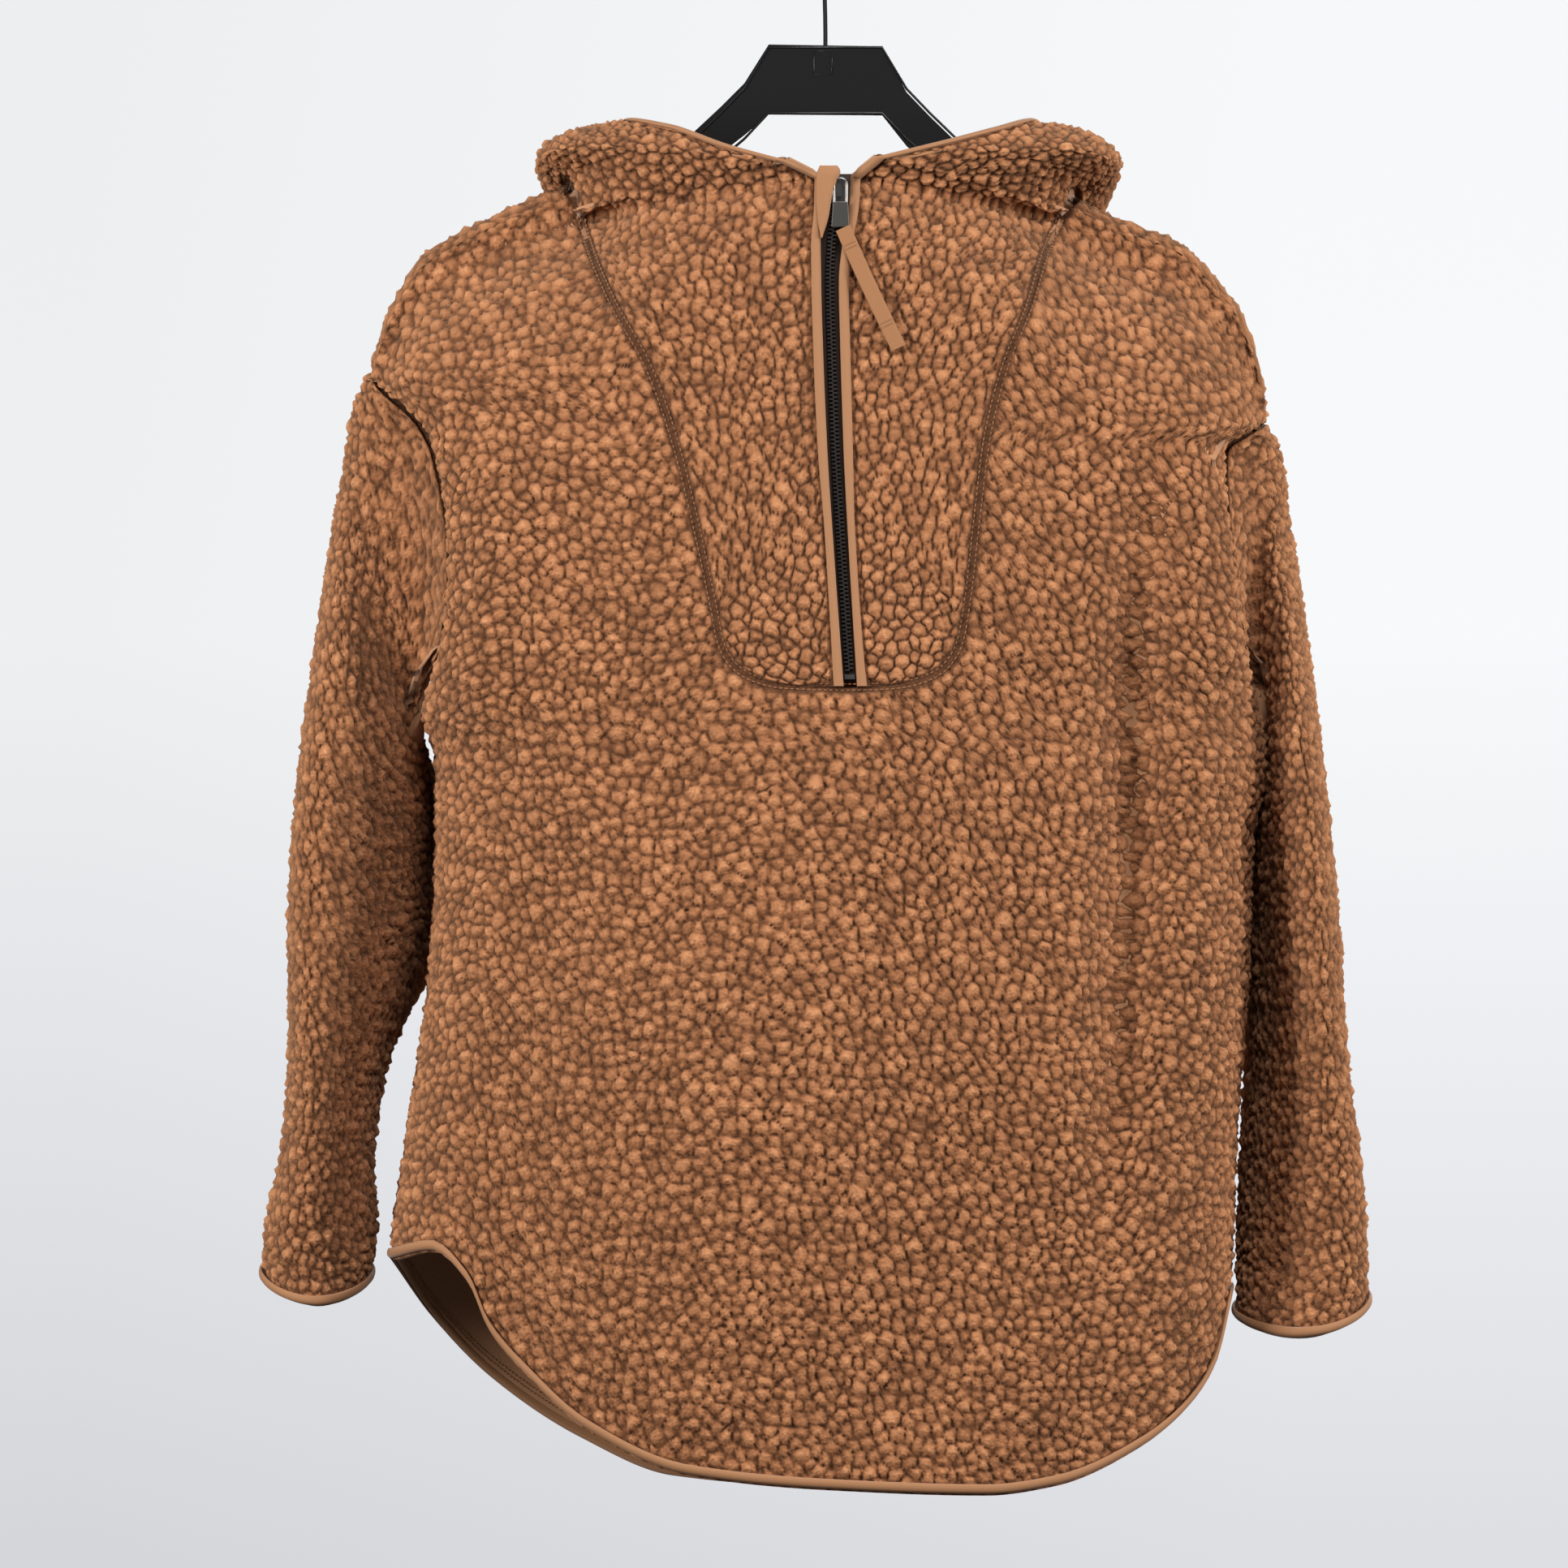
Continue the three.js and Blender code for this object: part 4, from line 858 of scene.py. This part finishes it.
def hood_panel(name, side, table, salt):
    flip = side > 0
    stations = np.concatenate([np.linspace(0.02, 1, many(172)), np.linspace(1, 2, many(184))[1:]])
    rows = many(140)
    rough_rows = np.linspace(0, 1, 60)
    rough = hood_grid(side, table, stations, [rough_rows] * len(stations))
    even_rows = []
    for line in rough:
        run = np.concatenate([[0], np.cumsum(np.linalg.norm(np.diff(line, axis=0), axis=1))])
        even_rows.append(np.interp(np.linspace(0, run[-1], rows), run, rough_rows))
    p = hood_grid(side, table, stations, even_rows)
    lengths = np.linalg.norm(np.diff(p, axis=1), axis=2)
    from_seam = np.concatenate([np.zeros((len(p), 1)), np.cumsum(lengths, axis=1)], axis=1)
    to_edge = from_seam[:, -1:] - from_seam
    first = np.linalg.norm(p - p[:1], axis=2)
    last = np.linalg.norm(p - p[-1:], axis=2)
    seam = np.minimum(np.minimum(from_seam, last), first).ravel()
    node = "hood_" + name
    curls = pile("pile_hood_" + name, p, salt, seam, to_edge.ravel(), flip=flip)
    pick = np.unique(np.linspace(0, len(p) - 1, 70).astype(int))
    across = np.unique(np.linspace(0, rows - 1, 30).astype(int))
    under = shell("cloth_hood_" + name, p[pick][:, across], HOOD_WALL, backing, flip=flip)
    for piece in (under, *curls):
        finish_piece(piece, GARMENT, "fleece", node)
    return p


# Section of a binding: distance from the edge, depth. Places in BIND_INSIDE count from the inside.
BIND_PROFILE = (
    (5.5, 0.5), (4.6, -0.2), (3.0, -0.5), (1.4, -0.3), (0.4, 0.5), (0.0, 1.8), (0.0, -1.8), (0.4, -0.5),
    (1.4, 0.2), (3.0, 0.3), (4.6, 0.1), (5.5, -0.4), (5.0, -1.2), (1.6, -1.3), (1.6, 1.3), (5.0, 1.2),
)
BIND_INSIDE = range(6, 14)


def bound_edge(name, p, thick, node, around=False, flip=False, inset=0.0, count=120):
    """Folded strip round the last row of a panel."""
    n = normals(p, around, flip)
    picks = np.linspace(0, len(p) - 1, count + int(around)).astype(int)
    picks = np.unique(picks[:-1] if around else picks)
    end = p[picks, -1]
    back = p[picks, -4] - end
    back /= np.linalg.norm(back, axis=1, keepdims=True)
    out = n[picks, -1]
    rings = []
    for k, (along, depth) in enumerate(BIND_PROFILE):
        level = thick + depth if k in BIND_INSIDE else depth
        rings.append(end + back * (along + inset) - out * level)
    vertices = np.stack(rings, axis=1)
    faces = grid_faces(len(picks), len(BIND_PROFILE), around, closed_rows=True)
    if flip:
        faces = faces[:, ::-1]
    obj = mesh_object(name, vertices, faces, binding_cloth)
    return finish_piece(obj, GARMENT, "binding", node)


def bars(name, starts, ends, wide, material, body_name=GARMENT, slot="binding", nodes=()):
    """Small rounded bars between pairs of places: stitches."""
    starts = np.asarray(starts, float)
    ends = np.asarray(ends, float)
    run = ends - starts
    run /= np.linalg.norm(run, axis=1, keepdims=True)
    aside = np.cross(run, [0, 1, 0])
    aside /= np.maximum(np.linalg.norm(aside, axis=1, keepdims=True), 1e-6)
    up = np.cross(aside, run)
    middle = (starts + ends) / 2
    vertices = []
    for centre, size in ((starts, 0.5), (middle, 1.0), (ends, 0.5)):
        for a, b in ((-1, -1), (1, -1), (1, 1), (-1, 1)):
            vertices.append(centre + aside * a * wide * size / 2 + up * b * wide * size / 2)
    vertices = np.stack(vertices, axis=1)
    shape = [(k, (k + 1) % 4, (k + 1) % 4 + 4, k + 4) for k in range(4)]
    shape += [(k + 4, (k + 1) % 4 + 4, (k + 1) % 4 + 8, k + 8) for k in range(4)]
    shape += [(3, 2, 1, 0), (8, 9, 10, 11)]
    faces = (np.arange(len(starts)) * 12)[:, None, None] + np.array(shape)[None]
    obj = mesh_object(name, vertices, faces.reshape(-1, 4), material)
    return finish_piece(obj, body_name, slot, *nodes)


def dashes(line, pitch, share=0.72):
    """Starts and ends of stitches along a run of places."""
    run = np.concatenate([[0], np.cumsum(np.linalg.norm(np.diff(line, axis=0), axis=1))])
    at = np.arange(0, run[-1] - pitch, pitch)

    def where(distance):
        return np.stack([np.interp(distance, run, line[:, c]) for c in range(3)], -1)

    return where(at), where(at + pitch * share)


front = body_panel(
    "front", 11, front_point, bib_shape, bib_fine, front_y, (400, 474), (60, 70), False, 2
)
back = body_panel(
    "back", 23, back_point, neck_shape, neck_fine, back_y, (196, 242), (60, 75), True, 1
)
left_sleeve = sleeve_panel("left", -1, SLEEVE_LEFT, 37)
right_sleeve = sleeve_panel("right", 1, SLEEVE_RIGHT, 41)
left_hood = hood_panel("left", -1, HOOD_LEFT, 53)
right_hood = hood_panel("right", 1, HOOD_RIGHT, 61)

bound_edge("edge_left", left_hood, HOOD_WALL, "edge_binding_left", count=170)
bound_edge("edge_right", right_hood, HOOD_WALL, "edge_binding_right", flip=True, count=170)
bound_edge("hem_front", front, WALL, "hem_binding_front", inset=1.0)
bound_edge("hem_back", back, WALL, "hem_binding_back", flip=True, inset=1.0)
bound_edge("cuff_left", left_sleeve, WALL, "cuff_binding_left", around=True, count=60)
bound_edge("cuff_right", right_sleeve, WALL, "cuff_binding_right", around=True, flip=True, count=60)

# Double stitching down the bib's seam, in the groove.
for name, shift in (("seam_stitches_out", 1.7), ("seam_stitches_in", -1.7)):
    fine = smooth_line(bib_outline[2:-2], 4)
    ahead = np.gradient(fine, axis=0)
    ahead /= np.linalg.norm(ahead, axis=1, keepdims=True)
    moved = fine + shift * np.stack([-ahead[:, 1], ahead[:, 0]], 1)
    line = place(moved[:, 0], front_y(moved[:, 0], moved[:, 1]) + PILE_DEPTH - 0.55, moved[:, 1])
    bars(name, *dashes(line, 3.1), 0.75, thread, slot="fleece")

# Double stitching on the body side of the armholes.
front_normals = normals(front)
for name, order, top in (
    ("armhole_stitches_left", slice(None), ARMHOLE_TOP_LEFT),
    ("armhole_stitches_right", slice(None, None, -1), ARMHOLE_TOP_RIGHT),
):
    starts, ends = [], []
    for inward in (2.6, 5.6):
        columns = front[order]
        facing = front_normals[order]
        run = np.cumsum(np.linalg.norm(np.diff(columns, axis=0), axis=2), axis=0)
        pick = np.argmax(run > inward, axis=0) + 1
        rows = np.arange(front.shape[1])
        line = columns[pick, rows] - facing[pick, rows] * (PILE_DEPTH - 1.2)
        line = line[(-line[:, 2] > top) & (-line[:, 2] < ARMHOLE_LOW)]
        a, b = dashes(line, 3.0)
        starts.append(a)
        ends.append(b)
    bars(name, np.vstack(starts), np.vstack(ends), 0.7, thread_pale, slot="fleece")

# Cover stitching inside the back hem.
back_normals = normals(back, flip=True)
starts, ends = [], []
for up in (6.4, 9.0):
    run = np.cumsum(np.linalg.norm(np.diff(back[:, ::-1], axis=1), axis=2), axis=1)
    pick = back.shape[1] - 2 - np.argmax(run > up, axis=1)
    columns = np.arange(len(back))
    line = back[columns, pick] - back_normals[columns, pick] * (WALL + 0.25)
    a, b = dashes(line, 2.4)
    starts.append(a)
    ends.append(b)
bars("cover_stitches", np.vstack(starts), np.vstack(ends), 0.7, thread, slot="fleece")

# Zip teeth, in turn from either side. Rows of a tooth: half width, level, half height.
TOOTH = ((1.45, 0.0, 0.62), (1.45, -1.0, 0.62), (1.2, -1.45, 0.38))
TOOTH_PITCH = 1.12
TEETH_DEPTH = 5.2
teeth, tooth_faces = [], []
for count, down in enumerate(np.arange(ZIP_TOP + 6, ZIP_BOTTOM - 6, TOOTH_PITCH)):
    side = -1 if count % 2 else 1
    x = float(zip_middle(down)) + side * 1.0
    y = float(front_y(zip_middle(down), down)) + TEETH_DEPTH
    base = len(teeth)
    for reach, forward, tall in TOOTH:
        for a, b in ((-1, -1), (1, -1), (1, 1), (-1, 1)):
            teeth.append((x + a * reach, y + forward, -(down + b * tall)))
    for level in (base, base + 4):
        for k in range(4):
            k2 = (k + 1) % 4
            tooth_faces.append([level + k, level + k2, level + 4 + k2, level + 4 + k])
    tooth_faces.append([base + 8, base + 9, base + 10, base + 11])
zip_teeth = mesh_object("zip_teeth", teeth, tooth_faces, metal, smooth=False)
finish_piece(zip_teeth, GARMENT, "zip_metal", "zip_chain")

# Garage: a folded end of binding over the top of the zip.
GARAGE_TOP = 142.5
GARAGE_LENGTH = 40
GARAGE_SIDES = 16
rows = np.linspace(0, 1, 22)
garage_left = track((0, 0.12, 0.4, 0.75, 1), (-3.2, -5.0, -5.2, -4.4, -2.6))(rows)
garage_right = track((0, 0.08, 0.2, 0.45, 0.7, 1), (6.5, 8.4, 6.4, 3.4, 1.8, -1.8))(rows)
garage_down = GARAGE_TOP + GARAGE_LENGTH * rows
face = float(front_y(-7.0, 183.0)) - 1.6
angle = np.linspace(0, 2 * np.pi, GARAGE_SIDES, endpoint=False)
middle = (garage_left + garage_right) / 2
half = (garage_right - garage_left) / 2
x = middle[None, :] + half[None, :] * np.cos(angle)[:, None]
fold = 0.35 * np.sin(3 * np.cos(angle))[:, None]
y = face + (1.25 + fold) * np.sin(angle)[:, None] * np.minimum(1, rows * 9 + 0.15)[None, :]
garage_points = place(x, y, garage_down[None, :] + 0 * x)
garage_faces = grid_faces(GARAGE_SIDES, len(rows), True)
garage = mesh_object("garage", garage_points, garage_faces, binding_cloth)
finish_piece(garage, GARMENT, "binding", "zip_garage")


def bevel(obj, width, segments, method):
    edge = obj.modifiers.new("bevel", "BEVEL")
    edge.width = width * MM
    edge.segments = segments
    edge.limit_method = method


# Hard nodes of the part that show as they are.
for names, material, width in (
    (("zip_stop", "zip_slider"), metal, 0.5),
    (("hanger",), plastic, 0.9),
    (("hook",), wire, 0),
):
    for node in names:
        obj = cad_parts[node]
        obj.data.materials.clear()
        obj.data.materials.append(material)
        if width:
            bevel(obj, width, 2, "ANGLE")


def rod(name, path, radius, material, body_name, slot, nodes=(), sides=8, closed=False):
    """Round bar along a path in the view from the front."""
    path = np.asarray(path, float)
    ahead = np.gradient(path, axis=0)
    if closed:
        ahead = np.roll(path, -1, 0) - np.roll(path, 1, 0)
    ahead /= np.linalg.norm(ahead, axis=1, keepdims=True)
    aside = np.cross(ahead, [0, 1, 0])
    aside /= np.maximum(np.linalg.norm(aside, axis=1, keepdims=True), 1e-6)
    up = np.cross(aside, ahead)
    turn = np.linspace(0, 2 * np.pi, sides, endpoint=False)
    section = aside[:, None] * np.cos(turn)[None, :, None] + up[:, None] * np.sin(turn)[None, :, None]
    vertices = path[:, None] + radius * section
    faces = grid_faces(len(path), sides, closed, closed_rows=True)
    obj = mesh_object(name, vertices, faces, material)
    return finish_piece(obj, body_name, slot, *nodes)


# Zip tapes behind the teeth, up to the top of the zip. Rows of the section: from the middle, lift.
TAPE_SECTION = ((0.1, 0.0), (2.6, 0.0), (2.8, 0.25), (10.5, 0.25))
TAPE_THICK = 0.8
for name, side in (("left", -1), ("right", 1)):
    down = np.linspace(ZIP_TOP + 1, ZIP_BOTTOM - 1, 60)
    level = front_y(zip_middle(down), down) + TEETH_DEPTH + 1
    across, lift = np.array(TAPE_SECTION).T
    x = zip_middle(down)[None, :] + side * across[:, None]
    y = level[None, :] + lift[:, None]
    points = np.concatenate([place(x, y, down), place(x[::-1], y[::-1] + TAPE_THICK, down)])
    faces = grid_faces(len(points), len(down), True)
    if side > 0:
        faces = faces[:, ::-1]
    tape = mesh_object("tape_" + name, points, faces, tape_cloth, smooth=False)
    finish_piece(tape, GARMENT, "zip_tape", "zip_tape_" + name)

# Pull: a plate with a wire frame that goes over the slider's bridge.
PULL_X = 8.2
PULL_Y = -74.6
PLATE = ((-4.1, 162.4), (4.1, 162.4), (5.0, 176.6), (-5.0, 176.6))
PLATE_HALF = 0.65
plate_points = [(PULL_X + x, PULL_Y + y, -down) for y in (-PLATE_HALF, PLATE_HALF) for x, down in PLATE]
plate_faces = [(0, 1, 2, 3), (7, 6, 5, 4), (0, 4, 5, 1), (1, 5, 6, 2), (2, 6, 7, 3), (3, 7, 4, 0)]
plate = mesh_object("pull_plate", plate_points, plate_faces, plate_metal, smooth=False)
bevel(plate, 0.35, 3, "ANGLE")
finish_piece(plate, PULL, "zip_metal", "zip_pull")
arc = np.linspace(np.pi, 0, 11)
loop = [(PULL_X - 3.4, PULL_Y, -162.8), (PULL_X - 3.5, PULL_Y - 0.3, -157)]
loop += [(PULL_X + 3.5 * math.cos(a), PULL_Y - 0.3, -(153.2 - 3.6 * math.sin(a))) for a in arc]
loop += [(PULL_X + 3.5, PULL_Y - 0.3, -157), (PULL_X + 3.4, PULL_Y, -162.8)]
rod("pull_loop", loop, 0.8, metal, PULL, "zip_metal", ("zip_pull",), sides=10)

# Ribbon through the plate, both layers stitched together.
RIBBON_START = np.array([9.6, 0, -177.0])
RIBBON_END = np.array([40.5, 0, -243.5])
ribbon_low, ribbon_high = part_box("pull_ribbon")
ribbon_near = (ribbon_high.y / MM - 1.6, ribbon_low.y / MM + 0.2)
run = RIBBON_END - RIBBON_START
along = run / np.linalg.norm(run)
aside = np.array([along[2], 0, -along[0]])


def ribbon_place(share, across, layer):
    bow = 1.2 * math.sin(math.pi * share)
    y = ribbon_near[0] + (ribbon_near[1] - ribbon_near[0]) * share - 0.5 * math.sin(math.pi * share)
    at = RIBBON_START + run * share + aside * (across * 4.3 + bow * 0.4)
    return (at[0], y + layer, at[2])


# Section of the ribbon: share of its half width, level.
RIBBON_ROUND = (
    (-1, 0.1), (-0.9, 0), (-0.5, 0.06), (0, 0.08), (0.5, 0.06), (0.9, 0), (1, 0.1),
    (1, 1.1), (0, 1.2), (-1, 1.1),
)
shares = np.linspace(0, 1, 28)
ribbon_points = [[ribbon_place(t, across, layer) for t in shares] for across, layer in RIBBON_ROUND]
ribbon_faces = grid_faces(len(RIBBON_ROUND), len(shares), True)[:, ::-1].tolist()
ribbon_points = np.array(ribbon_points)
ribbon = mesh_object("ribbon", ribbon_points, ribbon_faces, ribbon_cloth)
finish_piece(ribbon, PULL, "ribbon", "pull_ribbon")
starts, ends = [], []
for share in (0.13, 0.16, 0.78, 0.81):
    for k in range(5):
        starts.append(ribbon_place(share, -0.8 + 0.36 * k, -0.06))
        ends.append(ribbon_place(share, -0.8 + 0.36 * k + 0.26, -0.06))
bars("ribbon_stitches", starts, ends, 0.42, thread, PULL, "ribbon")

# Raised rim and moulded mark on the hanger's front.
HANGER_EDGE = ((31.5, 75), (45, 98), (58, 111.5), (73, 126), (98, 145))
HANGER_UNDER = ((31.5, 113.7), (45, 128), (58, 139), (73, 151), (98, 166))
front_of_plate = -HANGER_THICK / 2 - 0.1
for name, rows, shift in (("rim_top", HANGER_EDGE, 1.1), ("rim_under", HANGER_UNDER, -1.1)):
    path = [(-x, front_of_plate, -(down + shift)) for x, down in rows[::-1]]
    path += [(x, front_of_plate, -(down + shift)) for x, down in rows]
    rod("hanger_" + name, path, 0.75, plastic, GARMENT, "hanger_plastic", sides=6)
mark = [(-6.3, -78.2), (3.6, -78.2), (3.6, -91.2), (-6.3, -91.2)]
mark = [(x, front_of_plate, z) for x, z in mark]
rod("hanger_mark", mark, 0.3, plastic, GARMENT, "hanger_plastic", sides=6, closed=True)

# Camera as in the photograph: level, far off, a long lens.
camera_data = bpy.data.cameras.new("camera")
camera = bpy.data.objects.new("camera", camera_data)
bpy.context.scene.collection.objects.link(camera)
CAMERA_AWAY = 30.0
FRAME_WIDTH = 0.869
camera.location = (-0.023, -0.05 - CAMERA_AWAY, -0.485)
camera.rotation_euler = (math.radians(90), 0, 0)
camera_data.sensor_width = 36
camera_data.lens = 36 * CAMERA_AWAY / FRAME_WIDTH
camera_data.clip_end = 100
bpy.context.scene.camera = camera


def area_light(name, location, target, size, power, colour=(1, 1, 1)):
    data = bpy.data.lights.new(name, "AREA")
    data.shape = "RECTANGLE"
    data.size, data.size_y = size
    data.energy = power
    data.color = colour
    obj = bpy.data.objects.new(name, data)
    obj.location = location
    obj.rotation_euler = (Vector(target) - Vector(location)).to_track_quat("-Z", "Y").to_euler()
    bpy.context.scene.collection.objects.link(obj)
    return obj


middle = (0, 0, -0.48)
area_light("left", (-1.9, -1.45, 0.1), middle, (0.8, 1.4), 60, (1.0, 0.985, 0.96))
area_light("right", (2.9, -1.0, 0.2), middle, (0.9, 1.5), 82, (1.0, 0.985, 0.96))
area_light("front", (0.6, -2.3, 1.7), middle, (1.4, 0.9), 58)
area_light("back", (0.5, 2.6, 0.5), middle, (1.6, 1.4), 34)

world = bpy.data.worlds.new("world")
world.use_nodes = True
set_inputs(world.node_tree.nodes["Background"], Color=(0.93, 0.95, 1.0, 1), Strength=0.09)
bpy.context.scene.world = world

# Pale paper wall, far behind, that glows evenly as painted light and is a little darker towards its foot
# and left as painted shade.
PAPER_GLOW_STOPS = (
    (0.0, (0.70, 0.705, 0.74)), (0.3, (0.80, 0.81, 0.84)),
    (0.6, (0.91, 0.92, 0.93)), (1.0, (0.90, 0.91, 0.92)),
)


def paper_material():
    material, tree, shader = node_tree("paper")
    place_ = add_node(tree, "TexCoord").outputs["Object"]
    axes = add_node(tree, "SeparateXYZ", Vector=place_).outputs
    up = add_node(tree, "MapRange", From_Min=-1.5, From_Max=0.5, Value=axes["Z"])
    side = add_node(
        tree, "MapRange", From_Min=-0.9, From_Max=0.6, To_Min=0.94, To_Max=1.03, Value=axes["X"]
    )
    # Painted light: the wall glows, dimmer towards its foot and left as painted shade.
    set_inputs(
        shader,
        Base_Color=(0, 0, 0, 1),
        Specular_IOR_Level=0,
        Emission_Color=ramp(tree, up.outputs["Result"], PAPER_GLOW_STOPS),
        Emission_Strength=side.outputs["Result"],
    )
    return material


WALL_AWAY = 38000
WALL_CORNERS = ((-8000, -8000), (8000, -8000), (8000, 7000), (-8000, 7000))
corners = [(x, WALL_AWAY, z) for x, z in WALL_CORNERS]
backdrop = mesh_object("backdrop", corners, [(0, 1, 2, 3)], paper_material(), smooth=False)

bpy.context.scene.view_settings.view_transform = "Standard"
